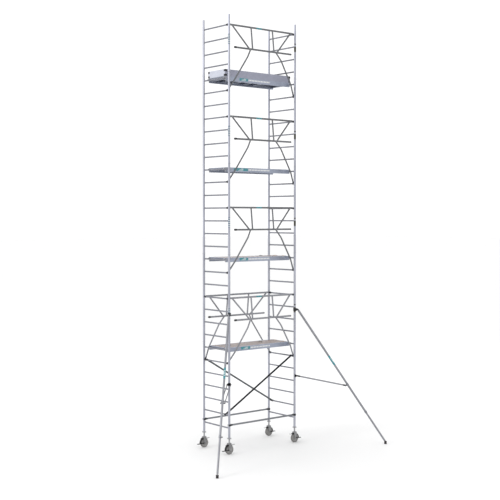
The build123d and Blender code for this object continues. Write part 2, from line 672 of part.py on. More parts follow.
# ---------------------------------------------------------------- stabilisers
def stabiliser(end, x, heading):
    """A telescopic leg with its coupler, arm and foot, in the upright plane through a front stile."""
    radial = Vector(cos(radians(heading)), sin(radians(heading)), 0)
    across = Vector(-radial.Y, radial.X, 0)

    def at(reach, height, lateral=0.0):
        return Vector(x, FRONT_Y, height) + radial * reach + across * lateral

    def upright(reach, height, lateral):
        """A sketch plane across the leg, X along the reach and Y up."""
        return Plane(origin=at(reach, height, lateral), x_dir=radial, z_dir=-across)

    fall = hypot(FOOT_REACH - PIVOT_REACH, PIVOT_Z - ANKLE_Z)
    lean_r = (FOOT_REACH - PIVOT_REACH) / fall
    lean_z = (ANKLE_Z - PIVOT_Z) / fall

    def along(distance, offset=0.0, lateral=0.0):
        """A point on the leg, with an offset square to it towards the tower."""
        reach = PIVOT_REACH + distance * lean_r + offset * lean_z
        return at(reach, PIVOT_Z + distance * lean_z - offset * lean_r, lateral)

    with BuildPart() as coupler:
        tube(at(0, COUPLER_LOW), at(0, COUPLER_TOP), COUPLER_R, COUPLER_R - STILE_R - GAP)
        for side in (-1, 1):
            with BuildSketch(upright(PIVOT_REACH, PIVOT_Z, side * (EAR_IN + EAR_OUT) / 2)):
                Circle(EAR_R)
                with Locations((COUPLER_R - PIVOT_REACH - 2, 0)):
                    Rectangle(*EAR_ROOT)
                make_hull()
                Circle(PIVOT_R + BORE_GAP, mode=Mode.SUBTRACT)
            extrude(amount=(EAR_OUT - EAR_IN) / 2, both=True)
        rod(at(PIVOT_REACH, PIVOT_Z, -EAR_OUT - 8), at(PIVOT_REACH, PIVOT_Z, EAR_OUT + 8), PIVOT_R)
        for side in (-1, 1):
            head = at(PIVOT_REACH, PIVOT_Z, side * (EAR_OUT + GAP))
            rod(head, at(PIVOT_REACH, PIVOT_Z, side * (EAR_OUT + PIVOT_HEAD_T)), PIVOT_HEAD_R)
    save(coupler, f"stabiliser_{end}_coupler")

    with BuildPart() as outer_tube:
        tube(along(LEG_START), along(OUTER_END), LEG_TUBE_R, LEG_WALL)
        tube(along(OUTER_END - COLLAR_L), along(OUTER_END + 4), COLLAR_R, COLLAR_R - INNER_R - GAP)
        tube(along(ARM_ALONG - COLLAR_L / 2), along(ARM_ALONG + COLLAR_L / 2), COLLAR_R, 5)
        plate = Plane(origin=along(0), x_dir=Vector(*along(1)) - Vector(*along(0)), z_dir=across)
        with BuildSketch(plate):
            Circle(EAR_R - 1)
            with Locations((LEG_START + PLUG_L / 2, 0)):
                Rectangle(PLUG_L, 2 * (LEG_TUBE_R - 1))
            make_hull()
            Circle(PIVOT_R + BORE_GAP, mode=Mode.SUBTRACT)
        extrude(amount=EAR_IN - 0.6, both=True)
        for side in (-1, 1):
            lug = Plane(origin=along(ARM_ALONG, ARM_OFFSET, side * LUG_AT), x_dir=plate.x_dir, z_dir=across)
            towards_leg = Vector(*along(ARM_ALONG, 0)) - Vector(*along(ARM_ALONG, ARM_OFFSET))
            up_sign = 1 if lug.y_dir.dot(towards_leg) > 0 else -1
            with BuildSketch(lug):
                Circle(LUG_R)
                with Locations((0, up_sign * (ARM_OFFSET - COLLAR_R + 5))):
                    Rectangle(2.8 * LUG_R, LUG_T)
                make_hull()
                Circle(PIVOT_R + BORE_GAP, mode=Mode.SUBTRACT)
            extrude(amount=LUG_T / 2, both=True)
        pin_half = ARM_SPACING + ARM_BAR_R + 4
        rod(along(ARM_ALONG, ARM_OFFSET, -pin_half), along(ARM_ALONG, ARM_OFFSET, pin_half), PIVOT_R)
    save(outer_tube, f"stabiliser_{end}_outer_tube")

    with BuildPart() as inner_tube:
        tube(along(INNER_START), along(fall - SHANK_AT + SHANK_L / 2), INNER_R, INNER_WALL)
        shank = Plane(origin=along(fall), x_dir=Vector(*along(0)) - Vector(*along(1)), z_dir=across)
        with BuildSketch(shank):
            Circle(SHANK_EYE_R)
            with Locations((SHANK_AT, 0)):
                Rectangle(SHANK_L, 2 * (INNER_R - 1))
            make_hull()
            Circle(PIVOT_R + BORE_GAP, mode=Mode.SUBTRACT)
        extrude(amount=PLATE_HALF, both=True)
    save(inner_tube, f"stabiliser_{end}_inner_tube")

    with BuildPart() as foot:
        with BuildSketch(Plane(at(FOOT_REACH, 0))):
            Circle(FOOT_R)
        extrude(amount=FOOT_TOP)
        fillet(foot.faces().sort_by(Axis.Z)[-1].edges(), FOOT_FILLETS[1])
        fillet(foot.faces().sort_by(Axis.Z)[0].edges(), FOOT_FILLETS[0])
        with BuildSketch(upright(FOOT_REACH, ANKLE_Z, 0)):
            with Locations((0, FOOT_TOP / 2 - FOOT_FLOOR)):
                Rectangle(3 * FOOT_R, FOOT_TOP)
        extrude(amount=FOOT_SLOT / 2, both=True, mode=Mode.SUBTRACT)
        pin = at(FOOT_REACH, ANKLE_Z, -FOOT_R + 3), at(FOOT_REACH, ANKLE_Z, FOOT_R - 3)
        rod(*pin, PIVOT_R)
    save(foot, f"stabiliser_{end}_foot")

    pin_reach = PIVOT_REACH + ARM_ALONG * lean_r + ARM_OFFSET * lean_z
    pin_height = PIVOT_Z + ARM_ALONG * lean_z - ARM_OFFSET * lean_r
    with BuildPart() as arm:
        for side in (-1, 1):
            near = (SADDLE_BAR[0] + SADDLE_BAR[1]) / 2
            lateral = side * ARM_SPACING
            rod(at(near, ARM_Z, lateral), at(pin_reach, pin_height, lateral), ARM_BAR_R)
            eye = [at(pin_reach, pin_height, lateral + edge) for edge in (-ARM_EYE_HALF, ARM_EYE_HALF)]
            rod(*eye, ARM_EYE_R)
            rod(*eye, PIVOT_R + BORE_GAP, mode=Mode.SUBTRACT)
        with BuildSketch(Plane(origin=at(0, ARM_Z - SADDLE_H / 2), x_dir=radial)):
            Circle(COUPLER_R)
            with Locations((-COUPLER_R, 0)):
                Rectangle(2 * COUPLER_R, 2 * COUPLER_R + 2, mode=Mode.SUBTRACT)
            Circle(STILE_R + GAP, mode=Mode.SUBTRACT)
        extrude(amount=SADDLE_H)
        with BuildSketch(Plane(origin=at(0, ARM_Z - ARM_BAR_R - 3), x_dir=radial)):
            with Locations(((SADDLE_BAR[0] + SADDLE_BAR[1]) / 2 - 1, 0)):
                Rectangle(SADDLE_BAR[1] - SADDLE_BAR[0] + 4, 2 * (ARM_SPACING + ARM_BAR_R + 2))
        extrude(amount=2 * (ARM_BAR_R + 3))
    save(arm, f"stabiliser_{end}_arm")


stabiliser("left", LEFT_X, -135)
stabiliser("right", RIGHT_X, -45)
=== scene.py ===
import json
from itertools import product
from math import cos, hypot, pi, radians, sin

import bpy
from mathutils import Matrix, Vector


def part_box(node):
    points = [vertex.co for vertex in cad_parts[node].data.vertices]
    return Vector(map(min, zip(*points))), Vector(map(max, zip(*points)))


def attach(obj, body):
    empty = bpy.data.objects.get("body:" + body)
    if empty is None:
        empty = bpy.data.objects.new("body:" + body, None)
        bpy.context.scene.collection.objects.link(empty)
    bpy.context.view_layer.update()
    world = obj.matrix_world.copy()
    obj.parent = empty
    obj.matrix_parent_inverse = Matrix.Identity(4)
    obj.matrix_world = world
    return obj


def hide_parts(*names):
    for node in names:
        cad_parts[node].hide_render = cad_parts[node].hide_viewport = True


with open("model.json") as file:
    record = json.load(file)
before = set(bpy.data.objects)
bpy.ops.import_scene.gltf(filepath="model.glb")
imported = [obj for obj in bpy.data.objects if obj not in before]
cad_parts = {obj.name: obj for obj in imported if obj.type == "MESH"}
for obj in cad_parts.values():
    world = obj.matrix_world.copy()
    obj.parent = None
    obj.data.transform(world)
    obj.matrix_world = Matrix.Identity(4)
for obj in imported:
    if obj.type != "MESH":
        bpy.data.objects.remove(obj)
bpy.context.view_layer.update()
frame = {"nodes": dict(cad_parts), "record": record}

# ---------------- places, from the frame
CORNERS = ("front_left", "front_right", "rear_left", "rear_right")
first_low, first_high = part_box("left_frame_1")
_, last_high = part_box("right_frame_1")
STILE_R = (first_high.x - first_low.x) / 2
LEFT_X = first_low.x + STILE_R
RIGHT_X = last_high.x - STILE_R
FRONT_Y = first_low.y + STILE_R
REAR_Y = first_high.y - STILE_R
TOWER_Y = (FRONT_Y + REAR_Y) / 2
BASE_Z = first_low.z

# Sizes that the frame's boxes don't hold, in metres
RUNG_PITCH = 0.28
RUNG_R = 0.0155
RUNG_START = 0.21
RUNGS = 32
RAIL_R = 0.020
STRUT_R = 0.017
LEG_R = 0.016
WHEEL_R = 0.1
DECK_TOP = 0.038  # walking surface over its rung
FILM = 0.0004  # thickness of a label's film


UP = Vector((0, 0, 1))
LONG_WAY = Vector((1, 0, 0))
CROSS_WAY = Vector((0, 1, 0))
BOTH = (-1, 1)  # the two sides of anything mirrored


def rung_z(count):
    """Height of a rung's axis, counted from the lowest."""
    return BASE_Z + RUNG_START + (count - 1) * RUNG_PITCH


DECK_RUNGS = (7, 14, 21, 28)
GUARD_RUNGS = {"front_guard_1": 11, "front_guard_2": 18, "front_guard_3": 25, "front_guard_4": 32,
               "rear_guard_1": 11}


# ---------------- materials
class Shader:
    """A material whose surface is built from a few procedural nodes."""

    def __init__(self, name, color, roughness, metallic=0.0, **sockets):
        self.material = bpy.data.materials.new(name)
        self.material.use_nodes = True
        self.tree = self.material.node_tree
        self.surface = self.tree.nodes["Principled BSDF"]
        self.surface.inputs["Base Color"].default_value = (*color, 1)
        self.surface.inputs["Roughness"].default_value = roughness
        self.surface.inputs["Metallic"].default_value = metallic
        for socket, value in sockets.items():
            self.surface.inputs[socket.replace("_", " ")].default_value = value
        coordinates = self.tree.nodes.new("ShaderNodeTexCoord")
        self.place = coordinates.outputs["Object"]
        self.facing = coordinates.outputs["Normal"]

    def add(self, kind, **settings):
        node = self.tree.nodes.new(kind)
        for key, value in settings.items():
            setattr(node, key, value)
        return node

    def join(self, source, node, socket):
        self.tree.links.new(source, node.inputs[socket])

    def math(self, operation, *values):
        node = self.add("ShaderNodeMath", operation=operation)
        for place, value in enumerate(values):
            if isinstance(value, (int, float)):
                node.inputs[place].default_value = value
            else:
                self.join(value, node, place)
        return node.outputs[0]

    def base(self):
        """What feeds the colour so far."""
        return self.surface.inputs["Base Color"].links[0].from_socket

    def axes(self):
        node = self.add("ShaderNodeSeparateXYZ")
        self.join(self.place, node, 0)
        return node.outputs

    def stretched(self, x, y, z):
        node = self.add("ShaderNodeMapping")
        node.inputs["Scale"].default_value = (x, y, z)
        self.join(self.place, node, "Vector")
        return node.outputs[0]

    def noise(self, scale, detail=3.0, place=None):
        node = self.add("ShaderNodeTexNoise")
        node.inputs["Scale"].default_value = scale
        node.inputs["Detail"].default_value = detail
        self.join(place or self.place, node, "Vector")
        return node.outputs["Fac"]

    def ramp(self, factor, *stops):
        node = self.add("ShaderNodeValToRGB")
        ramp = node.color_ramp
        while len(ramp.elements) < len(stops):
            ramp.elements.new(0.5)
        for element, (at, color) in zip(ramp.elements, stops):
            element.position = at
            element.color = (*color, 1)
        self.join(factor, node, 0)
        return node.outputs[0]

    def mix(self, factor, first, second, blend="MIX"):
        node = self.add("ShaderNodeMix", data_type="RGBA", blend_type=blend)
        for socket, value in ((0, factor), (6, first), (7, second)):
            if isinstance(value, (int, float)):
                node.inputs[socket].default_value = value
            elif isinstance(value, tuple):
                node.inputs[socket].default_value = (*value, 1)
            else:
                self.join(value, node, socket)
        return node.outputs[2]

    def color(self, source):
        self.join(source, self.surface, "Base Color")

    def rough(self, source, low, high):
        node = self.add("ShaderNodeMapRange")
        node.inputs["To Min"].default_value = low
        node.inputs["To Max"].default_value = high
        self.join(source, node, "Value")
        self.join(node.outputs[0], self.surface, "Roughness")

    def bump(self, height, distance, strength=1.0):
        node = self.add("ShaderNodeBump")
        node.inputs["Distance"].default_value = distance
        node.inputs["Strength"].default_value = strength
        self.join(height, node, "Height")
        self.join(node.outputs[0], self.surface, "Normal")

    def band(self, value, low, high):
        """1 where value lies between low and high, 0 elsewhere."""
        above = self.math("GREATER_THAN", value, low)
        return self.math("MULTIPLY", above, self.math("LESS_THAN", value, high))

    def length(self, x, y):
        """Length of a flat vector, from its two parts."""
        return self.math("SQRT", self.math("ADD", self.math("POWER", x, 2.0), self.math("POWER", y, 2.0)))


def aluminium(name, color, roughness, streaks=(90, 90, 3), contrast=0.12):
    """Extruded tube: fine drawing lines, faint handling marks and a dull oxide bloom."""
    shader = Shader(name, color, roughness, metallic=1.0)
    lines = shader.noise(9.0, 4.0, shader.stretched(*streaks))
    bloom = shader.noise(2.2, 5.0)
    dark = tuple(c * (1 - contrast) for c in color)
    light = tuple(min(1, c * (1 + contrast)) for c in color)
    shade = shader.ramp(bloom, (0.3, dark), (0.7, light))
    grey = tuple(1 - contrast * 0.8 for c in color)
    shader.color(shader.mix(1.0, shade, shader.ramp(lines, (0.35, grey), (0.65, (1, 1, 1))), "MULTIPLY"))
    shader.rough(lines, roughness - 0.08, roughness + 0.1)
    shader.bump(lines, 0.00008, 0.3)
    return shader


def frame_metal():
    """Stiles in a cool lavender grey, rungs a little darker, told apart by where they lie."""
    shader = aluminium("frame_metal", (0.41, 0.42, 0.48), 0.45)
    across = shader.math("ABSOLUTE", shader.math("SUBTRACT", shader.axes()[1], TOWER_Y))
    on_stile = shader.math("GREATER_THAN", across, (REAR_Y - FRONT_Y) / 2 - STILE_R - 0.001)
    base = shader.base()
    shader.color(shader.mix(on_stile, shader.mix(1.0, base, (0.68, 0.68, 0.67), "MULTIPLY"), base))
    return shader.material


DIAGONAL_CLEAR = 0.12  # above the first rung there are only diagonals


def brace_metal():
    """Dull extruded tube; the diagonals are darkened with painted shade, the front one almost to black."""
    shader = aluminium("brace_metal", (0.24, 0.25, 0.27), 0.45, (3, 90, 90))
    front = shader.math("LESS_THAN", shader.axes()[1], TOWER_Y)
    above = shader.math("GREATER_THAN", shader.axes()[2], rung_z(1) + DIAGONAL_CLEAR)
    base = shader.base()
    # Painted shade: the diagonals are darker copies of the brace metal, the rear one a little and the front
    # one almost black.
    dark = shader.mix(1.0, base, (0.10, 0.10, 0.11), "MULTIPLY")
    wear_and_shade_tone = shader.mix(1.0, base, (0.60, 0.62, 0.62), "MULTIPLY")
    shader.color(shader.mix(above, base, shader.mix(front, wear_and_shade_tone, dark)))
    return shader.material


SADDLE_R = 0.085  # reach of the arm's saddle from the stile's axis
SADDLE_Z = (1.4, 1.6)


def leg_metal():
    """Stabiliser tubes; the arm's saddle on the stile is coated black."""
    shader = aluminium("leg_metal", (0.29, 0.295, 0.32), 0.45, (60, 60, 60))
    axes = shader.axes()
    side = shader.math("SUBTRACT", shader.math("ABSOLUTE", axes[0]), RIGHT_X)
    away = shader.length(side, shader.math("SUBTRACT", axes[1], FRONT_Y))
    near = shader.math("LESS_THAN", away, SADDLE_R)
    at_saddle = shader.math("MULTIPLY", near, shader.band(axes[2], *SADDLE_Z))
    shader.color(shader.mix(at_saddle, shader.base(), (0.012, 0.012, 0.015)))
    return shader.material


PLY_T = 0.0028
DECK_PITCH = 7  # rungs from one deck to the next


def plywood():
    """Film-faced plywood: a fine anti-slip mesh on top, pale plies at the edges, and a dark painted shade
    on the underside.
    """
    shader = Shader("plywood", (0.20, 0.115, 0.08), 0.55)
    grain = shader.noise(6.0, 6.0, shader.stretched(2, 34, 34))
    scuffs = shader.noise(5.0, 4.0)
    film = shader.ramp(grain, (0.25, (0.175, 0.135, 0.125)), (0.75, (0.275, 0.220, 0.205)))
    wear_and_shade_tone = shader.ramp(scuffs, (0.45, (0.92, 0.92, 0.92)), (0.75, (1.35, 1.3, 1.25)))
    top = shader.mix(1.0, film, wear_and_shade_tone, "MULTIPLY")
    over_base = shader.math("SUBTRACT", shader.axes()[2], rung_z(DECK_PITCH) - 1)
    deck_z = shader.math("MODULO", over_base, RUNG_PITCH * DECK_PITCH)
    plies = shader.math("SINE", shader.math("MULTIPLY", deck_z, 2 * pi / PLY_T))
    edge = shader.ramp(shader.math("ADD", shader.math("MULTIPLY", plies, 0.5), 0.5),
                       (0.2, (0.50, 0.36, 0.22)), (0.8, (0.72, 0.56, 0.38)))
    normal = shader.add("ShaderNodeSeparateXYZ")
    shader.join(shader.facing, normal, 0)
    flat = shader.math("GREATER_THAN", shader.math("ABSOLUTE", normal.outputs[2]), 0.7)
    # The underside is painted dark blue-grey as painted shade.
    under = shader.math("LESS_THAN", normal.outputs[2], -0.7)
    faces = shader.mix(flat, edge, top)
    shader.color(shader.mix(under, faces, (0.060, 0.062, 0.075)))
    mesh = shader.add("ShaderNodeTexVoronoi", feature="DISTANCE_TO_EDGE")
    mesh.inputs["Scale"].default_value = 160
    mesh.inputs["Randomness"].default_value = 0.15
    shader.join(shader.place, mesh, "Vector")
    shader.bump(mesh.outputs["Distance"], 0.0015, 0.5)
    shader.rough(scuffs, 0.42, 0.65)
    return shader.material


TOE_END_X = 0.9165  # inner faces of the end boards
TOE_INSIDE = 0.2808


def toe_wood():
    """Grey painted boards with uneven wear; the long boards are darkened with painted shade and the two end
    boards are paler with painted light.
    """
    shader = Shader("toe_wood", (0.26, 0.26, 0.31), 0.5)
    grain = shader.noise(5.0, 5.0, shader.stretched(1.5, 40, 40))
    wear = shader.noise(7.0, 4.0)
    # Lit and shaded copies of one paint: the long boards darker as painted shade, the end boards paler as
    # painted light.
    long_board_shaded_paint = shader.ramp(grain, (0.3, (0.26, 0.27, 0.34)), (0.7, (0.31, 0.32, 0.40)))
    end_board_lit_paint = shader.ramp(grain, (0.3, (0.44, 0.46, 0.53)), (0.7, (0.50, 0.52, 0.59)))
    axes = shader.axes()
    at_end = shader.math("GREATER_THAN", shader.math("ABSOLUTE", axes[0]), TOE_END_X)
    across = shader.math("ABSOLUTE", shader.math("SUBTRACT", axes[1], TOWER_Y))
    inside = shader.math("LESS_THAN", across, TOE_INSIDE)
    paint = shader.mix(shader.math("MULTIPLY", at_end, inside), long_board_shaded_paint, end_board_lit_paint)
    wear_and_shade_tone = shader.ramp(wear, (0.3, (0.9, 0.9, 0.9)), (0.6, (1, 1, 1)))
    shader.color(shader.mix(1.0, paint, wear_and_shade_tone, "MULTIPLY"))
    shader.rough(wear, 0.4, 0.6)
    shader.bump(grain, 0.0006, 0.4)
    return shader.material


def painted(name, color, roughness, grit=0.35):
    """Painted or coated metal with orange peel, dust and slightly rubbed high spots."""
    shader = Shader(name, color, roughness, Specular_IOR_Level=0.4)
    peel = shader.noise(220.0, 2.0)
    dust = shader.noise(11.0, 5.0)
    dusty = tuple(min(1, c * 1.5 + 0.012) for c in color)
    shader.color(shader.ramp(dust, (0.42, color), (0.8, dusty)))
    shader.rough(dust, roughness - 0.08, roughness + 0.14)
    shader.bump(peel, 0.0004, grit)
    return shader.material


def zinc():
    """Zinc plate: bright blue-grey metal with faint crystals."""
    shader = Shader("zinc", (0.34, 0.345, 0.36), 0.36, metallic=1.0)
    crystals = shader.add("ShaderNodeTexVoronoi")
    crystals.inputs["Scale"].default_value = 140
    shader.join(shader.place, crystals, "Vector")
    value = shader.math("FRACT", shader.math("MULTIPLY", crystals.outputs["Distance"], 3.0))
    shader.color(shader.ramp(value, (0.0, (0.31, 0.315, 0.33)), (1.0, (0.40, 0.405, 0.42))))
    shader.rough(shader.noise(18.0), 0.26, 0.44)
    return shader.material


def moulded(name, color, roughness, scale=400.0):
    """Moulded rubber or plastic: fine spark grain and a dusty bloom."""
    shader = Shader(name, color, roughness)
    grain = shader.noise(scale, 2.0)
    bloom = shader.noise(14.0, 5.0)
    pale = tuple(min(1, c * 1.35 + 0.008) for c in color)
    shader.color(shader.ramp(bloom, (0.35, color), (0.8, pale)))
    shader.rough(bloom, roughness - 0.1, roughness + 0.1)
    shader.bump(grain, 0.0003, 0.4)
    return shader.material


def sticker(name, color, scale=90.0):
    """Glossy printed film, faintly mottled and crazed."""
    shader = Shader(name, color, 0.32, Coat_Weight=0.25, Coat_Roughness=0.2)
    mottle = shader.noise(scale, 4.0)
    deep = tuple(c * 0.86 for c in color)
    shader.color(shader.ramp(mottle, (0.35, deep), (0.65, color)))
    shader.rough(mottle, 0.26, 0.42)
    return shader.material


MATERIALS = {
    "frame": frame_metal(),
    "guard": aluminium("guard_metal", (0.175, 0.18, 0.19), 0.45, (3, 90, 90)).material,
    "brace": brace_metal(),
    "leg": leg_metal(),
    # The lowest guard frames get a paler copy of the guard metal as painted light.
    "painted_light_guard": aluminium("painted_light_guard_metal", (0.30, 0.305, 0.33), 0.45, (3, 90, 90)).material,
    "deck": aluminium("deck_metal", (0.34, 0.37, 0.45), 0.42, (3, 90, 90)).material,
    "plywood": plywood(),
    "toe": toe_wood(),
    "zinc": zinc(),
    "caster": painted("caster_metal", (0.21, 0.21, 0.215), 0.45),
    "wheel": moulded("wheel_rubber", (0.17, 0.165, 0.16), 0.6),
    "hub": moulded("hub_plastic", (0.30, 0.295, 0.29), 0.45),
    "brake": painted("brake_paint", (0.008, 0.008, 0.009), 0.5),
    "casting": painted("casting_coat", (0.014, 0.014, 0.018), 0.5, 0.6),
    "black": moulded("black_plastic", (0.010, 0.010, 0.012), 0.55),
    "rubber": moulded("foot_rubber", (0.022, 0.018, 0.018), 0.7, 260.0),
    "weld": aluminium("weld_metal", (0.42, 0.42, 0.44), 0.5, (160, 160, 160), 0.2).material,
    "teal": sticker("teal_film", (0.03, 0.23, 0.27)),
    "slate": sticker("slate_film", (0.10, 0.15, 0.22)),
    "white": sticker("white_film", (0.78, 0.79, 0.78)),
    "olive": sticker("olive_film", (0.035, 0.035, 0.022)),
    "lever": painted("lever_paint", (0.30, 0.30, 0.30), 0.45),
}

SLOT_MATERIALS = {
    "frame_aluminium": "frame", "guard_aluminium": "guard", "brace_aluminium": "brace",
    "deck_aluminium": "deck", "plywood": "plywood", "toe_board": "toe", "zinc_steel": "zinc",
    "caster_steel": "caster", "wheel_grey": "wheel", "brake_black": "brake",
    "black_casting": "casting", "black_plastic": "black", "rubber": "rubber",
}

PIECE_SLOTS = {material: slot for slot, material in SLOT_MATERIALS.items()}
# The two lowest guard frames take the paler copy of the guard metal, as painted light.
NODE_MATERIALS = {"front_guard_1": "painted_light_guard", "rear_guard_1": "painted_light_guard"}
for end_name in ("left", "right"):
    for part_name in ("outer_tube", "inner_tube", "arm"):
        NODE_MATERIALS[f"stabiliser_{end_name}_{part_name}"] = "leg"


def paint_frame():
    """Every CAD node takes the material of its own slot, or another tone of the same metal; the lowest
    guard frames take a paler copy as painted light.
    """
    for part in frame["record"]["subparts"]:
        node = frame["nodes"][part["node"]]
        name = NODE_MATERIALS.get(part["node"], SLOT_MATERIALS[part["material_slot"]])
        material = MATERIALS[name]
        for slot in node.material_slots:
            slot.material = material


# ---------------- mesh tools
class Mesh:
    """Gathers vertices and faces, then becomes one piece that rides on a body."""

    def __init__(self):
        self.points = []
        self.faces = []

    def add(self, points, faces):
        start = len(self.points)
        self.points += [Vector(point) for point in points]
        self.faces += [[start + index for index in face] for face in faces]

    def piece(self, name, material, body="tower", slot=None, smooth=True, angle=35):
        data = bpy.data.meshes.new(name)
        data.from_pydata(self.points, [], self.faces)
        data.materials.append(MATERIALS[material])
        if smooth:
            data.shade_smooth()
            data.set_sharp_from_angle(angle=radians(angle))
        data.validate()
        obj = bpy.data.objects.new(name, data)
        bpy.context.scene.collection.objects.link(obj)
        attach(obj, body)
        slot = slot or PIECE_SLOTS.get(material, "teal_label")
        return obj


def frame_at(direction):
    """Two unit vectors square to a direction."""
    direction = Vector(direction).normalized()
    helper = Vector((0, 0, 1)) if abs(direction.z) < 0.9 else Vector((1, 0, 0))
    first = direction.cross(helper).normalized()
    return first, direction.cross(first).normalized()


def ring_tube(mesh, path, radius, sides=8):
    """A closed round bead along a closed path."""
    count = len(path)
    points = []
    for index, point in enumerate(path):
        along = Vector(path[(index + 1) % count]) - Vector(path[index - 1])
        first, second = frame_at(along)
        for side in range(sides):
            turn = 2 * pi * side / sides
            points.append(Vector(point) + (first * cos(turn) + second * sin(turn)) * radius)
    # neighbouring rings may start at different turns, so each one is lined up with the ring before
    for index in range(1, count):
        ring = points[index * sides:(index + 1) * sides]
        before = points[(index - 1) * sides]
        nearest = min(range(sides), key=lambda side: (ring[side] - before).length)
        points[index * sides:(index + 1) * sides] = ring[nearest:] + ring[:nearest]
    last = points[-sides:]
    shift = min(range(sides), key=lambda side: (points[side] - last[0]).length)
    faces = []
    for index in range(count):
        after = (index + 1) % count
        turn = shift if after == 0 else 0
        for side in range(sides):
            a, b = index * sides + side, index * sides + (side + 1) % sides
            c = after * sides + (side + 1 + turn) % sides
            d = after * sides + (side + turn) % sides
            faces.append((a, b, c, d))
    mesh.add(points, faces)


def ring_faces(row, after, sides):
    """Quads between two rings of points."""
    faces = []
    for side in range(sides):
        right = (side + 1) % sides
        faces.append((row * sides + side, row * sides + right, after * sides + right, after * sides + side))
    return faces


def lathe(mesh, centre, axis, profile, sides=32, closed=False):
    """Turns (distance along the axis, radius) pairs round the axis, capped unless closed."""
    axis = Vector(axis).normalized()
    first, second = frame_at(axis)
    points = []
    for along, radius in profile:
        for side in range(sides):
            turn = 2 * pi * side / sides
            out = first * cos(turn) + second * sin(turn)
            points.append(Vector(centre) + axis * along + out * radius)
    faces = []
    rows = len(profile)
    for row in range(rows if closed else rows - 1):
        faces += ring_faces(row, (row + 1) % rows, sides)
    if not closed:
        faces.append(list(range(sides))[::-1])
        faces.append([(rows - 1) * sides + side for side in range(sides)])
    mesh.add(points, faces)


def mirrored(half):
    """A profile made of one half and its mirror image."""
    return list(half) + [(-along, radius) for along, radius in reversed(half)]


def collar(mesh, place, axis, inner, outer, length, sides):
    """A square-edged ring round a tube."""
    profile = ((0, inner), (0, outer), (length, outer), (length, inner))
    lathe(mesh, place, axis, profile, sides, closed=True)


def bead(mesh, place, radii, length, sides=40):
    """A crested ring round an upright post; radii are inside, at the edges and at the crest."""
    inner, edge, crest = radii
    profile = ((0, inner), (0, edge), (length / 2, crest), (length, edge), (length, inner))
    lathe(mesh, place, UP, profile, sides, closed=True)


def bar(mesh, start, end, radius, sides=16):
    """A solid round bar with slightly broken edges."""
    run = Vector(end) - Vector(start)
    edge = min(radius, run.length / 2) * 0.15
    profile = ((0, radius - edge), (edge, radius), (run.length - edge, radius), (run.length, radius - edge))
    lathe(mesh, start, run, profile, sides)


def rounded(length, width, corner, steps=6):
    """Outline points of a rounded rectangle."""
    points = []
    for quarter, (sx, sy) in enumerate(((1, 1), (-1, 1), (-1, -1), (1, -1))):
        for step in range(steps + 1):
            turn = (quarter + step / steps) * pi / 2
            x = sx * (length / 2 - corner) + corner * cos(turn)
            y = sy * (width / 2 - corner) + corner * sin(turn)
            points.append((x, y))
    return points


def slab(mesh, centre, long_axis, wide_axis, length, width, thickness, corner, steps=4):
    """A flat plate with rounded corners, standing on centre and rising along its normal."""
    along = Vector(long_axis).normalized()
    across = Vector(wide_axis).normalized()
    normal = along.cross(across).normalized()
    outline = rounded(length, width, min(corner, length / 2, width / 2), steps)
    count = len(outline)
    points = []
    for rise in (0, thickness):
        points += [Vector(centre) + along * x + across * y + normal * rise for x, y in outline]
    faces = [list(range(count))[::-1], list(range(count, 2 * count))]
    faces += [(i, (i + 1) % count, count + (i + 1) % count, count + i) for i in range(count)]
    mesh.add(points, faces)


def wrap(mesh, centre, axis, facing, radius, length, spread, thickness=FILM, steps=14):
    """A film wrapped round a tube: spread is the angle that it covers, centred on facing."""
    axis = Vector(axis).normalized()
    facing = (Vector(facing) - axis * Vector(facing).dot(axis)).normalized()
    side = axis.cross(facing).normalized()
    points = []
    for level in (-length / 2, length / 2):
        for step in range(steps + 1):
            turn = spread * (step / steps - 0.5)
            out = facing * cos(turn) + side * sin(turn)
            for layer in (0, thickness):
                points.append(Vector(centre) + axis * level + out * (radius + layer))
    row = 2 * (steps + 1)
    faces = []
    for step in range(steps):
        a = 2 * step
        faces.append((a, a + row, a + row + 2, a + 2))
        faces.append((a + 1, a + 3, a + row + 3, a + row + 1))
        faces.append((a, a + 2, a + 3, a + 1))
        faces.append((a + row, a + row + 1, a + row + 3, a + row + 2))
    for a in (0, 2 * steps):
        faces.append((a, a + 1, a + row + 1, a + row) if a == 0 else (a, a + row, a + row + 1, a + 1))
    mesh.add(points, faces)


def round_patch(mesh, centre, axis, facing, tube_r, radius, thickness=0.00004, steps=16):
    """A thin round patch that follows the surface of a tube; centre is on the tube's axis."""
    axis = Vector(axis).normalized()
    side = axis.cross(facing).normalized()
    points = []
    for level in (0, thickness):
        for reach in (0, radius):
            for step in range(steps if reach else 1):
                turn = 2 * pi * step / steps
                bend = reach * sin(turn) / tube_r
                out = Vector(facing) * cos(bend) + side * sin(bend)
                points.append(Vector(centre) + axis * (reach * cos(turn)) + out * (tube_r + level))
    row = steps + 1
    faces = []
    for step in range(steps):
        a, b = 1 + step, 1 + (step + 1) % steps
        faces += [(0, b, a), (row, row + a, row + b), (a, b, row + b, row + a)]
    mesh.add(points, faces)


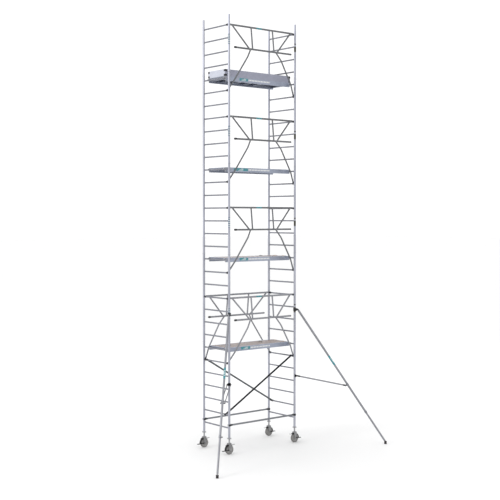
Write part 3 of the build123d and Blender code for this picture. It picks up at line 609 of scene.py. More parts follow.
def weld_ring(mesh, start, towards, tube_r, onto_r, onto_axis, bead=0.0028, steps=20):
    """The bead where a tube meets a bigger one: start is on the big tube's axis."""
    towards = Vector(towards).normalized()
    onto_axis = Vector(onto_axis).normalized()
    first = (onto_axis - towards * onto_axis.dot(towards)).normalized()
    second = towards.cross(first)
    path = []
    for step in range(steps):
        turn = 2 * pi * step / steps
        offset = (first * cos(turn) + second * sin(turn)) * tube_r
        # distance along the tube at which the line from the offset leaves the big tube
        flat_dir = towards - onto_axis * towards.dot(onto_axis)
        flat_off = offset - onto_axis * offset.dot(onto_axis)
        a = flat_dir.dot(flat_dir)
        b = 2 * flat_dir.dot(flat_off)
        c = flat_off.dot(flat_off) - onto_r ** 2
        reach = (-b + max(b * b - 4 * a * c, 0) ** 0.5) / (2 * a)
        path.append(Vector(start) + offset + towards * reach)
    ring_tube(mesh, path, bead, 6)


def rivet(mesh, place, normal, radius=0.004, height=0.0016):
    """A domed rivet head."""
    dome = ((0, 1), (0.4, 0.92), (0.8, 0.6), (1, 0.2))
    profile = [(height * rise, radius * part) for rise, part in dome]
    lathe(mesh, place, normal, profile, 12)


WASHER_T = 0.0012


def hex_bolt(mesh, place, normal, across, height):
    """A chamfered hexagon head on a washer."""
    normal = Vector(normal).normalized()
    lathe(mesh, place, normal, ((0, across * 1.25), (WASHER_T, across * 1.25)), 24)
    top = Vector(place) + normal * WASHER_T
    lathe(mesh, top, normal, ((0, across), (height * 0.85, across), (height, across * 0.86)), 6)


# ---------------- end frames
RIBS_PER_RUNG = 12
RIB_W = 0.0022
RIB_H = 0.0011
RIB_CORNER = 0.0008
RIB_SINK = 0.0003  # a rib starts inside its rung
RIB_END_GAP = 0.010


def frame_details():
    """Weld beads at every rung, and grip ribs along it."""
    welds, ribs = Mesh(), Mesh()
    rib_length = REAR_Y - FRONT_Y - 2 * (STILE_R + RIB_END_GAP)
    for x in (LEFT_X, RIGHT_X):
        for count in range(1, RUNGS + 1):
            z = rung_z(count)
            for y, inward in ((FRONT_Y, 1), (REAR_Y, -1)):
                weld_ring(welds, (x, y, z), (0, inward, 0), RUNG_R, STILE_R, UP)
            for rib in range(RIBS_PER_RUNG):
                turn = 2 * pi * rib / RIBS_PER_RUNG
                out = Vector((cos(turn), 0, sin(turn)))
                centre = Vector((x, TOWER_Y, z)) + out * (RUNG_R - RIB_SINK)
                slab(ribs, centre, CROSS_WAY, out.cross(CROSS_WAY), rib_length, RIB_W, RIB_H, RIB_CORNER, 1)
    welds.piece("rung_welds", "weld", slot="frame_aluminium")
    ribs.piece("rung_grip_ribs", "frame", smooth=False)


# ---------------- guard frames
RAIL_IN, RAIL_UP = 0.038, 0.010  # top rail from the stile row and its rung
MID_OUT, MID_DOWN = 0.015, 0.470  # middle rail
STRUT_X = (0.306, 0.306)  # at the top rail and at the middle rail
DIAGONAL_X = (0.843, 0.393)
HIP = (0.360, -0.015, -0.470)  # first two points of a leg: along, inside the row, up
KNEE = (0.480, -0.060, -0.650)
TOP_RIVETS_X = (0.868, 0.888)
MID_RIVET_X = 0.785
GUARD_LABEL_X = -0.091
GUARD_LABEL_L = 0.154
GUARD_LABEL_SPREAD = 3.4
SLEEVE_X = -0.802
SLEEVE = ((0, -0.0020), (0, 0.0020), (0.0015, 0.0028), (0.038, 0.0028), (0.040, 0.0018), (0.040, -0.0005))
CLAW_IN = 0.050
GUARD_DROP = 5  # rungs from the top claws down to the bottom claws


def guard_place(name):
    """A function from (x, inside the stile row, up) to a point, and the way that the guard faces."""
    outward = 1 if name.startswith("rear") else -1
    row = REAR_Y if outward > 0 else FRONT_Y
    base = rung_z(GUARD_RUNGS[name])
    return (lambda x, inside, up: Vector((x, row - outward * inside, base + up))), outward


def guard_details():
    """Weld beads, rivets, a black end sleeve and a plain coloured label on each guard frame."""
    welds, rivets, labels, sleeves = Mesh(), Mesh(), Mesh(), Mesh()
    for name in GUARD_RUNGS:
        at, outward = guard_place(name)
        for side in BOTH:
            for top_x, low_x in (STRUT_X, DIAGONAL_X):
                high = at(side * top_x, RAIL_IN, RAIL_UP)
                low = at(side * low_x, -MID_OUT, -MID_DOWN)
                weld_ring(welds, high, low - high, STRUT_R, RAIL_R, LONG_WAY)
                weld_ring(welds, low, high - low, STRUT_R, RAIL_R, LONG_WAY)
            hip = at(side * HIP[0], *HIP[1:])
            knee = at(side * KNEE[0], *KNEE[1:])
            weld_ring(welds, hip, knee - hip, LEG_R, RAIL_R, LONG_WAY)
            for x, face in product(TOP_RIVETS_X, BOTH):
                rivet(rivets, at(side * x, RAIL_IN + face * RAIL_R, RAIL_UP), (0, -face * outward, 0))
            rivet(rivets, at(side * MID_RIVET_X, -MID_OUT - RAIL_R, -MID_DOWN), (0, outward, 0))
        label_at = at(GUARD_LABEL_X, RAIL_IN, RAIL_UP)
        wrap(labels, label_at, LONG_WAY, (0, outward, 0.25), RAIL_R, GUARD_LABEL_L, GUARD_LABEL_SPREAD)
        profile = [(step, RAIL_R + out) for step, out in SLEEVE]
        lathe(sleeves, at(SLEEVE_X, -MID_OUT, -MID_DOWN), LONG_WAY, profile, 32, closed=True)
    welds.piece("guard_welds", "weld", slot="guard_aluminium")
    rivets.piece("guard_rivets", "zinc")
    labels.piece("guard_labels", "teal")
    sleeves.piece("guard_end_sleeves", "black")


# ---------------- claws
BRACE_IN = 0.125  # diagonal braces inside the stile row
BRACE_ROWS = ((FRONT_Y, 1, (2, 6)), (REAR_Y, -1, (6, 2)))  # row, way in, rungs at the left and right
PIN_DROP = 0.0196
PIN_HALF = 0.0275
PIN_R = 0.003
KNOB_IN, KNOB_DROP = 0.0235, 0.006
KNOB = ((0, 0.006), (0.004, 0.006), (0.006, 0.0085), (0.011, 0.0085), (0.013, 0.006))


def claw_places():
    """Centres of the claws of the guards and the diagonal braces, and the side that each is at."""
    places = []
    for name in GUARD_RUNGS:
        at, _ = guard_place(name)
        for side, drop in product(BOTH, (0, GUARD_DROP)):
            places.append((at(side * RIGHT_X, CLAW_IN, -drop * RUNG_PITCH), side))
    for row, inward, rungs in BRACE_ROWS:
        for side, rung in zip((-1, 1), rungs):
            places.append((Vector((side * RIGHT_X, row + inward * BRACE_IN, rung_z(rung))), side))
    return places


def claw_pins():
    """A spring pin under each rung that a claw holds, with its finger knob."""
    pins, knobs = Mesh(), Mesh()
    reach = Vector((0, PIN_HALF, 0))
    for centre, side in claw_places():
        low = centre - Vector((0, 0, PIN_DROP))
        bar(pins, low - reach, low + reach, PIN_R, 12)
        lathe(knobs, centre - Vector((side * KNOB_IN, 0, KNOB_DROP)), (-side, 0, -0.3), KNOB, 16)
    pins.piece("claw_spring_pins", "zinc")
    knobs.piece("claw_release_knobs", "zinc")


# ---------------- labels on the stiles and beams
LABEL_RUNGS = (10, 17, 24, 31)
LABEL_FACING = (-0.6, -1, 0)
SLATE_UP, SLATE_H, SLATE_SPREAD = -0.033, 0.215, 3.0
BARS = 5
BAR_UP, BAR_PITCH, BAR_H = 0.045, 0.040, 0.012
DARK_LABELS = ((-0.060, 0.120, 3.0), (0.055, 0.024, 2.2))  # up from the rung, height, spread
DECK_HALF = 0.300
BEAM_LABELS = {7: (-0.50, -0.24), 14: (-0.54, -0.30), 21: (-0.70, -0.30), 28: (-0.54, -0.30)}
BLOCK_H, BLOCK_T = 0.058, 0.0005
STRIPES = ((0.035, 0.016, 0.07), (0.015, 0, 0.10), (-0.005, -0.016, 0.13))  # along, up, length
STRIPE_W, STRIPE_T = 0.007, 0.0003
DASH, DASH_PITCH, DASH_END, DASH_DROP = 0.030, 0.044, 0.34, 0.002
LABEL_CORNER = 0.004
DASH_CORNER = 0.003


def stile_labels():
    """Plain wrapped labels on the front stiles, one set to each frame."""
    slate, bars, dark = Mesh(), Mesh(), Mesh()
    for rung in LABEL_RUNGS:
        z = rung_z(rung)
        wrap(slate, (LEFT_X, FRONT_Y, z + SLATE_UP), UP, LABEL_FACING, STILE_R, SLATE_H, SLATE_SPREAD)
        for step in range(BARS):
            place = (LEFT_X, FRONT_Y, z + BAR_UP - BAR_PITCH * step)
            wrap(bars, place, UP, LABEL_FACING, STILE_R + FILM, BAR_H, 2.2 - 0.25 * (step % 3))
        for rise, height, spread in DARK_LABELS:
            wrap(dark, (RIGHT_X, FRONT_Y, z + rise), UP, LABEL_FACING, STILE_R, height, spread)
    slate.piece("stile_labels_slate", "slate")
    bars.piece("stile_label_bars", "white")
    dark.piece("stile_labels_dark", "olive")


def beam_labels():
    """A coloured block and a row of plain dashes on the outer face of each deck's two beams."""
    teal, dashes = Mesh(), Mesh()
    for (rung, (low, high)), outward in product(BEAM_LABELS.items(), BOTH):
        along = LONG_WAY * -outward
        face = Vector((0, TOWER_Y + outward * DECK_HALF, rung_z(rung)))
        middle = face + along * ((low + high) / 2)
        slab(teal, middle, along, UP, high - low, BLOCK_H, BLOCK_T, LABEL_CORNER)
        for reach, rise, length in STRIPES:
            mark = middle + along * reach + UP * rise + CROSS_WAY * (outward * BLOCK_T)
            slab(dashes, mark, along, UP, length, STRIPE_W, STRIPE_T, DASH_CORNER)
        for step in range(int((DASH_END - high) / DASH_PITCH)):
            mark = face + along * (high + DASH_PITCH * (step + 0.7)) - UP * DASH_DROP
            slab(dashes, mark, along, UP, DASH, DASH, FILM, DASH_CORNER)
    teal.piece("beam_labels_teal", "teal")
    dashes.piece("beam_label_dashes", "white")


# ---------------- decks
GROOVES_UP = (0.0355, -0.0505)  # heights on a beam's outer face, from the rung
GROOVE_L, GROOVE_W, GROOVE_T = 1.838, 0.004, 0.0012
CROSS_X = (-0.895, -0.600, -0.300, 0.0, 0.280)
END_CROSS_X = 0.898
CROSS_RIVETS_UP = (0.012, -0.008)
CORNER_RIVETS_X = (-0.905, -0.870, 0.870, 0.905)
CORNER_RIVETS_UP = (0.026, -0.040)
BOARD_SCREWS_Y = (-0.245, -0.085, 0.085, 0.245)
BOARD_SCREW = ((0, 0.0045), (0.0006, 0.004))
HINGE_RIVET_X, HINGE_RIVETS_Y, HINGE_LEAF = 0.900, (0.1035, 0.1965), 0.0032
TRIM_X, TRIM_L, TRIM_T = 0.920, 0.538, 0.0014
TRIM_FACE_H, TRIM_FACE_DROP = 0.0136, 0.006
TRIM_TOP_W, TRIM_TOP_X = 0.019, 0.911


def deck_details():
    """Beam grooves and rivets, metal board ends, screws in the boards, and the hatches' fittings."""
    grooves, rivets, screws, trims = Mesh(), Mesh(), Mesh(), Mesh()
    for rung in DECK_RUNGS:
        z = rung_z(rung)
        top = z + DECK_TOP
        for side in BOTH:
            face = (side * TRIM_X, TOWER_Y, top - TRIM_FACE_DROP)
            slab(trims, face, CROSS_WAY * side, UP, TRIM_L, TRIM_FACE_H, TRIM_T, 0.001, 2)
            lip = (side * TRIM_TOP_X, TOWER_Y, top)
            slab(trims, lip, LONG_WAY, CROSS_WAY, TRIM_TOP_W, TRIM_L, TRIM_T, 0.001, 2)
        for outward in BOTH:
            face_y = TOWER_Y + outward * DECK_HALF
            normal = (0, outward, 0)
            for rise in GROOVES_UP:
                groove = (0, face_y, z + rise)
                slab(grooves, groove, LONG_WAY * -outward, UP, GROOVE_L, GROOVE_W, GROOVE_T, 0.002, 1)
            for x, rise in product(CROSS_X + (END_CROSS_X,), CROSS_RIVETS_UP):
                rivet(rivets, (x, face_y, z + rise), normal, 0.0045)
            for x, rise in product(CORNER_RIVETS_X, CORNER_RIVETS_UP):
                rivet(rivets, (x, face_y, z + rise), normal, 0.005)
        for x, y in product(CROSS_X, BOARD_SCREWS_Y):
            lathe(screws, (x, TOWER_Y + y, top), UP, BOARD_SCREW, 12)
        for side, y in product(BOTH, HINGE_RIVETS_Y):
            rivet(screws, (HINGE_RIVET_X, TOWER_Y + side * y, top + HINGE_LEAF), UP)
    grooves.piece("beam_grooves", "deck")
    trims.piece("deck_end_trims", "deck")
    rivets.piece("beam_rivets", "zinc")
    screws.piece("deck_screws", "zinc")
    for number, rung in enumerate(DECK_RUNGS, start=1):
        hatch_details(number, rung_z(rung) + DECK_TOP)


GRIP_X, GRIP_Y = 0.370, 0.080  # finger slot of the hatch
GRIP_SLOT = (0.028, 0.110, 0.003)  # length, width and corner radius of each outline of the moulding
GRIP_LIP = (0.044, 0.128, 0.010)
GRIP_RIM = (0.050, 0.134, 0.012)
GRIP_RINGS = ((GRIP_SLOT, 0.0002), (GRIP_SLOT, 0.0030), (GRIP_LIP, 0.0034), (GRIP_RIM, 0.0014),
              (GRIP_RIM, 0.0002))
HANDLE_X, HANDLE_R = 0.019, 0.0042
HANDLE = ((-0.046, 0.003), (-0.044, 0.012), (-0.036, 0.016), (0.036, 0.016), (0.044, 0.012), (0.046, 0.003))
GRIP_SCREW_X, GRIP_SCREW_Y, GRIP_SCREW_UP = 0.017, 0.057, 0.003
GRIP_SCREW = ((0, 0.0028), (0.0008, 0.0024))
LEAF_RIVET_X, LEAF_RIVETS_Y, LEAF_T = 0.856, (0.135, 0.165), 0.003
EDGE_X, EDGE_Y, EDGE_L, EDGE_W, EDGE_T = 0.589, 0.261, 0.560, 0.0055, 0.0012


def hatch_details(number, top):
    """A moulded frame round the finger slot with a drop handle, edge strips and hinge screws."""
    body = f"hatch_{number}"
    grip, trim, screws = Mesh(), Mesh(), Mesh()
    centre = Vector((GRIP_X, TOWER_Y + GRIP_Y, top))
    points = []
    for outline, height in GRIP_RINGS:
        points += [centre + Vector((x, y, height)) for x, y in rounded(*outline)]
    rings = len(GRIP_RINGS)
    count = len(points) // rings
    faces = []
    for row in range(rings):
        low, high = row * count, (row + 1) % rings * count
        for i in range(count):
            j = (i + 1) % count
            faces.append((low + i, high + i, high + j, low + j))
    grip.add(points, faces)
    for (y0, z0), (y1, z1) in zip(HANDLE, HANDLE[1:]):
        bar(grip, centre + Vector((HANDLE_X, y0, z0)), centre + Vector((HANDLE_X, y1, z1)), HANDLE_R, 12)
    for y, x in product(BOTH, BOTH):
        place = centre + Vector((x * GRIP_SCREW_X, y * GRIP_SCREW_Y, GRIP_SCREW_UP))
        lathe(screws, place, UP, GRIP_SCREW, 12)
    for side in BOTH:
        for y in LEAF_RIVETS_Y:
            rivet(screws, (LEAF_RIVET_X, TOWER_Y + side * y, top + LEAF_T), UP)
        edge = (EDGE_X, TOWER_Y + side * EDGE_Y, top)
        slab(trim, edge, LONG_WAY, CROSS_WAY, EDGE_L, EDGE_W, EDGE_T, 0.002, 2)
    grip.piece(f"hatch_{number}_grip", "black", body)
    trim.piece(f"hatch_{number}_edge_strips", "deck", body)
    screws.piece(f"hatch_{number}_screws", "zinc", body)


BRACKET_MID = 0.020  # screws from a bracket's end and from the corner
BRACKET_SCREW_IN = 0.030


def toe_board_screws():
    """A screw in each leg of each corner bracket."""
    screws = Mesh()
    low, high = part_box("toe_board_brackets")
    for x, along in ((low.x, -1), (high.x, 1)):
        for y, out in ((low.y, -1), (high.y, 1)):
            for z in (low.z + BRACKET_MID, high.z - BRACKET_MID):
                hex_bolt(screws, (x, y - out * BRACKET_SCREW_IN, z), (along, 0, 0), 0.0062, 0.004)
                hex_bolt(screws, (x - along * BRACKET_SCREW_IN, y, z), (0, out, 0), 0.0062, 0.004)
    screws.piece("toe_board_screws", "casting", slot="zinc_steel")


# ---------------- casters
THREAD_PITCH = 0.008
THREAD_CREST = 0.018
THREAD_ROOT = 0.0163
THREAD_LOW = 0.251
THREAD_TOP = 0.745
THREAD_STEEPNESS = 2.6
TIP_H, TIP_R = 0.004, THREAD_ROOT - 0.0008
THREAD_ROWS = 6  # rows of points to a turn
KINGPIN = ((0.2100, 0.0135), (0.2115, 0.0150), (0.2180, 0.0150), (0.2181, 0.0100), (0.2431, 0.0100),
           (0.2433, 0.0220), (0.2445, 0.0230), (0.2480, 0.0230), (0.2490, 0.0218), (0.2491, THREAD_ROOT))


def thread_radius(z, turn):
    """Radius of the levelling screw at a height and a part of a turn."""
    if z > THREAD_TOP - TIP_H:
        return TIP_R
    phase = ((z - THREAD_LOW) / THREAD_PITCH - turn) % 1
    return THREAD_ROOT + (THREAD_CREST - THREAD_ROOT) * min(1, THREAD_STEEPNESS * min(phase, 1 - phase))


def threaded_leg(mesh, x, y, sides=24):
    """Kingpin, flange and a levelling screw whose thread climbs round it."""
    count = int((THREAD_TOP - THREAD_LOW) / THREAD_PITCH * THREAD_ROWS)
    rings = [(z, [radius] * sides) for z, radius in KINGPIN]
    for row in range(count + 1):
        z = THREAD_LOW + (THREAD_TOP - THREAD_LOW) * row / count
        rings.append((z, [thread_radius(z, side / sides) for side in range(sides)]))
    points = []
    for z, radii in rings:
        for side, radius in enumerate(radii):
            turn = 2 * pi * side / sides
            points.append((x + radius * cos(turn), y + radius * sin(turn), z))
    faces = []
    for row in range(len(rings) - 1):
        faces += ring_faces(row, row + 1, sides)
    faces.append(list(range(sides))[::-1])
    faces.append([len(points) - sides + side for side in range(sides)])
    mesh.add(points, faces)


# Half profiles of tyre and hub: across the wheel from its middle, then radius
HALF_TYRE = ((-0.0210, 0.0785), (-0.0245, 0.0830), (-0.0250, 0.0870), (-0.0242, 0.0885), (-0.0250, 0.0900),
             (-0.0250, 0.0930), (-0.0225, 0.0970), (-0.0180, 0.0994), (-0.0090, 0.1000), (-0.0080, 0.0985),
             (-0.0060, 0.0985), (-0.0050, 0.1000))
HALF_HUB = ((-0.023, 0.0075), (-0.023, 0.0240), (-0.021, 0.0258), (-0.0085, 0.0270), (-0.006, 0.0310),
            (-0.006, 0.0655), (-0.0085, 0.0690), (-0.021, 0.0700), (-0.023, 0.0716), (-0.023, 0.0765),
            (-0.021, 0.0777))
SPOKES = 8
SPOKE_MID, SPOKE_L, SPOKE_W, SPOKE_H, SPOKE_IN = 0.048, 0.044, 0.005, 0.012, 0.0055
BEARING_OUT = 0.0228
BEARING = ((0, 0.0190), (0.0012, 0.0190), (0.0020, 0.0170), (0.0014, 0.0130), (0.0020, 0.0100))


def wheel_details(prefix, x, y):
    """A grooved tyre on a spoked hub with bearing covers."""
    axle = Vector((x, y, WHEEL_R))
    tyre = Mesh()
    lathe(tyre, axle, CROSS_WAY, mirrored(HALF_TYRE), 64, closed=True)
    tyre_piece = tyre.piece(prefix + "tyre", "wheel", prefix + "wheel", angle=40)
    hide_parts(prefix + "wheel")

    hub, bearings = Mesh(), Mesh()
    lathe(hub, axle, CROSS_WAY, mirrored(HALF_HUB), 48, closed=True)
    for face in BOTH:
        out = CROSS_WAY * face
        for spoke in range(SPOKES):
            turn = 2 * pi * spoke / SPOKES
            radial = Vector((cos(turn), 0, sin(turn)))
            foot = axle + radial * SPOKE_MID + out * SPOKE_IN
            slab(hub, foot, radial, out.cross(radial), SPOKE_L, SPOKE_W, SPOKE_H, 0.0012, 1)
        lathe(bearings, axle + out * BEARING_OUT, out, BEARING, 32)
    hub.piece(prefix + "hub", "hub", prefix + "wheel", "wheel_grey", angle=40)
    bearings.piece(prefix + "bearing_covers", "zinc", prefix + "wheel")


NUT_RINGS_UP = (0.008, 0.024)
CROWN_RING_DROP, CROWN_CAP_DROP = 0.016, 0.006
CROWN_CAP = ((0, 0.0300), (0, 0.0330), (0.0062, 0.0330), (0.0070, 0.0320), (0.0070, 0.0300))
SKIN_Y = 0.0362  # outer face of a fork cheek
RIB_TOP, RIB_FOOT = (0.0365, 0.214), (0.0195, 0.106)
CHEEK_RIB_R = 0.0022
AXLE_RING_Y = 0.0358
AXLE_RING = ((0, 0.0165), (0.0004, 0.0165), (0.0004, 0.0130))
CHEEK_BOLT_Y, CHEEK_BOLT_Z = 0.0361, 0.196


def leg_and_nut_details(prefix, x, y):
    """A threaded leg in place of the plain one, and two raised rings round the nut."""
    leg = Mesh()
    threaded_leg(leg, x, y)
    leg_piece = leg.piece(prefix + "threaded_leg", "zinc", prefix + "leg", angle=50)
    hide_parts(prefix + "spindle")

    nut = Mesh()
    low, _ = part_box(prefix + "nut")
    for rise in NUT_RINGS_UP:
        bead(nut, (x, y, low.z + rise), (0.0288, 0.0296, 0.0300), 0.0012)
    nut.piece(prefix + "nut_rings", "zinc", prefix + "nut")


def fork_details(prefix, x, y):
    """Rings on the crown, pressed ribs down the cheeks, axle washers and cheek bolts."""
    fork = Mesh()
    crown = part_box(prefix + "fork")[1].z
    bead(fork, (x, y, crown - CROWN_RING_DROP), (0.0465, 0.0485, 0.0492), 0.0024, 48)
    lathe(fork, (x, y, crown - CROWN_CAP_DROP), UP, CROWN_CAP, 40, closed=True)
    for face in BOTH:
        out = CROSS_WAY * face
        skin = y + face * SKIN_Y
        for side in BOTH:
            top = (x + side * RIB_TOP[0], skin, RIB_TOP[1])
            bar(fork, top, (x + side * RIB_FOOT[0], skin, RIB_FOOT[1]), CHEEK_RIB_R, 10)
        lathe(fork, (x, y + face * AXLE_RING_Y, WHEEL_R), out, AXLE_RING, 32)
        hex_bolt(fork, (x, y + face * CHEEK_BOLT_Y, CHEEK_BOLT_Z), out, 0.0065, 0.005)
    fork.piece(prefix + "fork_pressings", "caster", prefix + "fork")


LEVER_ROOT, LEVER_TIP = (0.0612, 0.0880), (0.1400, 0.1000)  # out from the axle and up
LEVER_W, LEVER_T, LEVER_CORNER = 0.034, 0.0072, 0.008
PEDAL_RIBS = 6
PEDAL_X, PEDAL_PITCH, PEDAL_DROP = 0.128, 0.0095, 0.0097
PEDAL_RIB_L, PEDAL_RIB_W, PEDAL_RIB_H = 0.040, 0.0045, 0.0018


def brake_details(prefix, x, y, out):
    """A flat release lever on one side, and ribs across the pedal on the other."""
    lever, pedal = Mesh(), Mesh()
    root, tip = (Vector((x - out * reach, y, WHEEL_R + up)) for reach, up in (LEVER_ROOT, LEVER_TIP))
    run = tip - root
    wide = CROSS_WAY * -out
    lift = run.cross(wide).normalized() * (LEVER_T / 2)
    slab(lever, (root + tip) / 2 - lift, run, wide, run.length + 0.004, LEVER_W, LEVER_T, LEVER_CORNER)
    lever.piece(prefix + "release_lever", "lever", prefix + "brake", "caster_steel")
    for rib in range(PEDAL_RIBS):
        centre = (x + out * (PEDAL_X + PEDAL_PITCH * rib), y, WHEEL_R - PEDAL_DROP)
        slab(pedal, centre, LONG_WAY, CROSS_WAY, PEDAL_RIB_W, PEDAL_RIB_L, PEDAL_RIB_H, 0.0015, 2)
    pedal.piece(prefix + "pedal_ribs", "brake", prefix + "brake")


def caster_details(corner):
    """All fittings of the caster at one corner; its pedal points away from the tower."""
    prefix = f"caster_{corner}_"
    out = -1 if corner.endswith("left") else 1
    x = LEFT_X if out < 0 else RIGHT_X
    y = FRONT_Y if corner.startswith("front") else REAR_Y
    wheel_details(prefix, x, y)
    leg_and_nut_details(prefix, x, y)
    fork_details(prefix, x, y)
    brake_details(prefix, x, y, out)


# ---------------- stabilisers
FOOT_REACH, ANKLE_Z = 2.060, 0.048  # reaches are from the stile's axis
PIVOT_REACH, PIVOT_Z = 0.072, 3.033
ARM_ALONG, ARM_OFFSET, ARM_Z = 2.035, 0.045, 1.520
LEG_TUBE_R, INNER_R, OUTER_END = 0.024, 0.0208, 2.800
LABEL_ALONG, LABEL_L, LABEL_SPREAD = 1.382, 0.250, 4.6
LEG_BARS, LEG_BAR_START, LEG_BAR_PITCH, LEG_BAR_L = 4, 1.330, 0.034, 0.010
HOLES, HOLE_START, HOLE_PITCH, HOLE_R = 7, 0.080, 0.090, 0.005
KNOB_BACK, KNOB_OUT = 0.018, 0.0278
CLAMP_KNOB = ((0, 0.006), (0.008, 0.006), (0.009, 0.011), (0.011, 0.0125), (0.020, 0.0125), (0.022, 0.011))
WING_UP, WING_SIDE = 0.0155, 0.014
RIMS_ALONG = (OUTER_END - 0.040, OUTER_END - 0.004, ARM_ALONG - 0.019, ARM_ALONG + 0.016)
BOLT_IN, BOLTS_UP, BOLT_SIDE = 0.010, (-0.020, 0.020), 0.0322
COUPLER_RINGS_UP = (-0.0325, 0.0300)
ARM_HALF, ARM_START, ARM_SLEEVE_R = 0.038, 0.050, 0.0128
ARM_BOLT_SIDE = 0.0502
FOOT_RIBS_UP = (0.012, 0.020, 0.028, 0.036)


class Stabiliser:
    """Places on one stabiliser, and the fittings on each of its parts."""

    def __init__(self, end, x, heading):
        self.prefix = f"stabiliser_{end}_"
        self.x = x
        self.radial = Vector((cos(radians(heading)), sin(radians(heading)), 0))
        self.across = Vector((-self.radial.y, self.radial.x, 0))
        reach, fall = FOOT_REACH - PIVOT_REACH, PIVOT_Z - ANKLE_Z
        self.lean = (self.radial * reach - Vector((0, 0, fall))) / hypot(reach, fall)
        outer = self.across.cross(self.lean)
        self.outer = outer if outer.dot(self.radial) > 0 else -outer

    def at(self, reach, height, lateral=0.0):
        """A point by its distance from the stile, its height and its distance to one side."""
        return Vector((self.x, FRONT_Y, height)) + self.radial * reach + self.across * lateral

    def along(self, distance, offset=0.0, lateral=0.0):
        """A point by its distance down the leg from the pivot, inward from it and to one side."""
        pivot = self.at(PIVOT_REACH, PIVOT_Z, lateral)
        return pivot + self.lean * distance - self.outer * offset

    def piece(self, mesh, name, part, material):
        mesh.piece(self.prefix + name, material, self.prefix + part)

    def labels(self):
        label, bars = Mesh(), Mesh()
        middle = self.along(LABEL_ALONG)
        wrap(label, middle, self.lean, self.outer, LEG_TUBE_R, LABEL_L, LABEL_SPREAD, steps=20)
        for step in range(LEG_BARS):
            place = self.along(LEG_BAR_START + LEG_BAR_PITCH * step)
            spread = 3.0 - 0.4 * (step % 2)
            wrap(bars, place, self.lean, self.outer, LEG_TUBE_R + FILM, LEG_BAR_L, spread)
        self.piece(label, "label", "outer_tube", "teal")
        self.piece(bars, "label_bars", "outer_tube", "white")

    def adjusting_holes(self):
        holes = Mesh()
        for step in range(HOLES):
            place = self.along(OUTER_END + HOLE_START + HOLE_PITCH * step)
            for side in BOTH:
                round_patch(holes, place, self.lean, self.across * side, INNER_R, HOLE_R)
        self.piece(holes, "adjusting_holes", "inner_tube", "black")

    def clamp_knob(self):
        clamp = Mesh()
        knob = self.along(OUTER_END - KNOB_BACK, 0, KNOB_OUT)
        lathe(clamp, knob, self.across, CLAMP_KNOB, 24)
        for side in BOTH:
            wing = knob + self.across * WING_UP + self.outer * side * WING_SIDE
            slab(clamp, wing, self.outer, self.lean, 0.030, 0.010, 0.006, 0.004)
        self.piece(clamp, "clamp_knob", "outer_tube", "black")

    def collar_rims(self):
        rims = Mesh()
        for distance in RIMS_ALONG:
            collar(rims, self.along(distance), self.lean, 0.0278, 0.0288, 0.0030, 40)
        self.piece(rims, "collar_rims", "outer_tube", "black")

    def coupler_bolts(self):
        bolts = Mesh()
        for up, side in product(BOLTS_UP, BOTH):
            place = self.at(-BOLT_IN, PIVOT_Z + up, side * BOLT_SIDE)
            hex_bolt(bolts, place, self.across * side, 0.0070, 0.006)
        for up in COUPLER_RINGS_UP:
            collar(bolts, (self.x, FRONT_Y, PIVOT_Z + up), UP, 0.0335, 0.0350, 0.0025, 40)
        self.piece(bolts, "coupler_bolts", "coupler", "casting")

    def arm_sleeves(self):
        arm = Mesh()
        pin = self.along(ARM_ALONG, ARM_OFFSET)
        for side in BOTH:
            near = self.at(ARM_START, ARM_Z, side * ARM_HALF)
            far = pin + self.across * (side * ARM_HALF)
            run = (far - near).normalized()
            bar(arm, near + run * 0.028, near + run * 0.078, ARM_SLEEVE_R, 24)
            bar(arm, far - run * 0.060, far - run * 0.012, ARM_SLEEVE_R, 24)
            hex_bolt(arm, pin + self.across * (side * ARM_BOLT_SIDE), self.across * side, 0.0080, 0.006)
        self.piece(arm, "arm_sleeves", "arm", "black")

    def foot_ribs(self):
        foot = Mesh()
        for level in FOOT_RIBS_UP:
            bead(foot, self.at(FOOT_REACH, level), (0.0270, 0.0290, 0.0298), 0.0030)
        self.piece(foot, "foot_ribs", "foot", "rubber")


def stabiliser_details(end, x, heading):
    """Label, adjusting holes, clamp knob, collar rims, bolts, bar sleeves and foot rings."""
    stabiliser = Stabiliser(end, x, heading)
    stabiliser.labels()
    stabiliser.adjusting_holes()
    stabiliser.clamp_knob()
    stabiliser.collar_rims()
    stabiliser.coupler_bolts()
    stabiliser.arm_sleeves()
    stabiliser.foot_ribs()


# ---------------- base braces
HORIZONTAL_UP = 0.062  # above the first rung
HORIZONTAL_END = RIGHT_X - 0.054
COLLAR_IN, COLLAR_OUT = 0.0195, 0.0212
RIVET_OUT = 0.0211
SHORT_COLLAR, LONG_COLLAR = 0.024, 0.026
DIAGONAL_COLLAR = 0.046  # from the rung's centre
DIAGONAL_RIVETS = (0.053, 0.065)


def brace_details():
    """Rivets and collars where the braces enter their claws."""
    collars, rivets = Mesh(), Mesh()
    z = rung_z(1) + HORIZONTAL_UP
    for y, outward in ((FRONT_Y, -1), (REAR_Y, 1)):
        for side in BOTH:
            place = (side * (HORIZONTAL_END - 0.030), y, z)
            collar(collars, place, (side, 0, 0), COLLAR_IN, COLLAR_OUT, SHORT_COLLAR, 32)
            for back in (0.022, 0.010):
                rivet_at = (side * (HORIZONTAL_END - back), y + outward * RIVET_OUT, z)
                rivet(rivets, rivet_at, (0, outward, 0))
    for row, inward, rungs in BRACE_ROWS:
        y = row + inward * BRACE_IN
        low = Vector((LEFT_X, y, rung_z(rungs[0])))
        high = Vector((RIGHT_X, y, rung_z(rungs[1])))
        along = (high - low).normalized()
        for start, way in ((low, along), (high, -along)):
            collar(collars, start + way * DIAGONAL_COLLAR, way, COLLAR_IN, COLLAR_OUT, LONG_COLLAR, 32)
            for reach, face in product(DIAGONAL_RIVETS, BOTH):
                rivet(rivets, start + way * reach + CROSS_WAY * (face * RIVET_OUT), CROSS_WAY * face)
    collars.piece("brace_collars", "casting")
    rivets.piece("brace_rivets", "zinc")


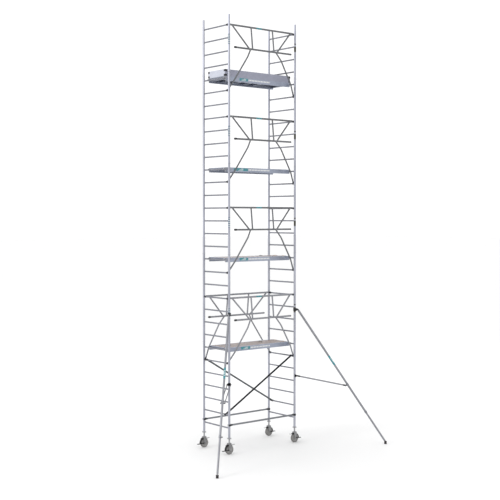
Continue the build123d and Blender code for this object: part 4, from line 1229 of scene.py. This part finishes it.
# ---------------- stage
FLOOR_SIZE = 400
FLOOR_SHADE_FADE = 6.0  # distance over which the painted shade round the tower fades out
WORLD_STRENGTH = 1.12
LIGHTS = {"key_light": ((-16, 2, 12), 5.0, 900), "rear_light": ((9, 12, 12), 7.0, 300)}
LIGHT_AIM = (0, TOWER_Y, 4.5)
CAMERA_PLACE = (-14.687, TOWER_Y - 17.765, 5.129)
CAMERA_AZIMUTH, CAMERA_DIP = radians(39.59), radians(1.83)
CAMERA_LENS = 74.0


def pale_floor():
    """A pale floor with painted shade round the tower, growing a little paler away from it."""
    bpy.ops.mesh.primitive_plane_add(size=FLOOR_SIZE, location=(0, 0, 0))
    floor = bpy.context.object
    floor.name = "studio_floor"
    shader = Shader("floor_paint", (0.9, 0.9, 0.9), 0.9, Specular_IOR_Level=0.1)
    axes = shader.axes()
    far = shader.math("DIVIDE", shader.length(axes[0], axes[1]), FLOOR_SHADE_FADE)
    # Painted shade: the floor is darker near the tower, standing in for the tower's soft shadow.
    painted_floor_shade = shader.ramp(far, (0.2, (0.80, 0.80, 0.80)), (1.0, (0.90, 0.90, 0.90)))
    mottle = shader.ramp(shader.noise(0.6, 2.0), (0.3, (0.99, 0.99, 0.99)), (0.7, (1, 1, 1)))
    shader.color(shader.mix(1.0, painted_floor_shade, mottle, "MULTIPLY"))
    floor.data.materials.append(shader.material)


def aimed(name, data, place, way):
    """A light or camera that looks a given way."""
    thing = bpy.data.objects.new(name, data)
    thing.location = place
    thing.rotation_euler = way.to_track_quat("-Z", "Y").to_euler()
    bpy.context.scene.collection.objects.link(thing)
    return thing


def stage():
    """Pale floor, soft studio light and the camera."""
    pale_floor()
    scene = bpy.context.scene
    world = bpy.data.worlds.new("studio")
    world.use_nodes = True
    background = world.node_tree.nodes["Background"]
    background.inputs["Color"].default_value = (1.0, 1.0, 1.0, 1)
    background.inputs["Strength"].default_value = WORLD_STRENGTH
    scene.world = world

    for name, (place, size, power) in LIGHTS.items():
        data = bpy.data.lights.new(name, "AREA")
        data.shape = "DISK"
        data.size = size
        data.energy = power
        aimed(name, data, place, Vector(LIGHT_AIM) - Vector(place))

    data = bpy.data.cameras.new("camera")
    data.lens = CAMERA_LENS
    data.sensor_width = 36.0
    data.clip_end = 600
    level = cos(CAMERA_DIP)
    look = Vector((sin(CAMERA_AZIMUTH) * level, cos(CAMERA_AZIMUTH) * level, -sin(CAMERA_DIP)))
    scene.camera = aimed("camera", data, CAMERA_PLACE, look)
    scene.view_settings.view_transform = "Standard"


paint_frame()
frame_details()
guard_details()
claw_pins()
stile_labels()
beam_labels()
deck_details()
toe_board_screws()
brace_details()
for corner_name in CORNERS:
    caster_details(corner_name)
stabiliser_details("left", LEFT_X, -135)
stabiliser_details("right", RIGHT_X, -45)
stage()
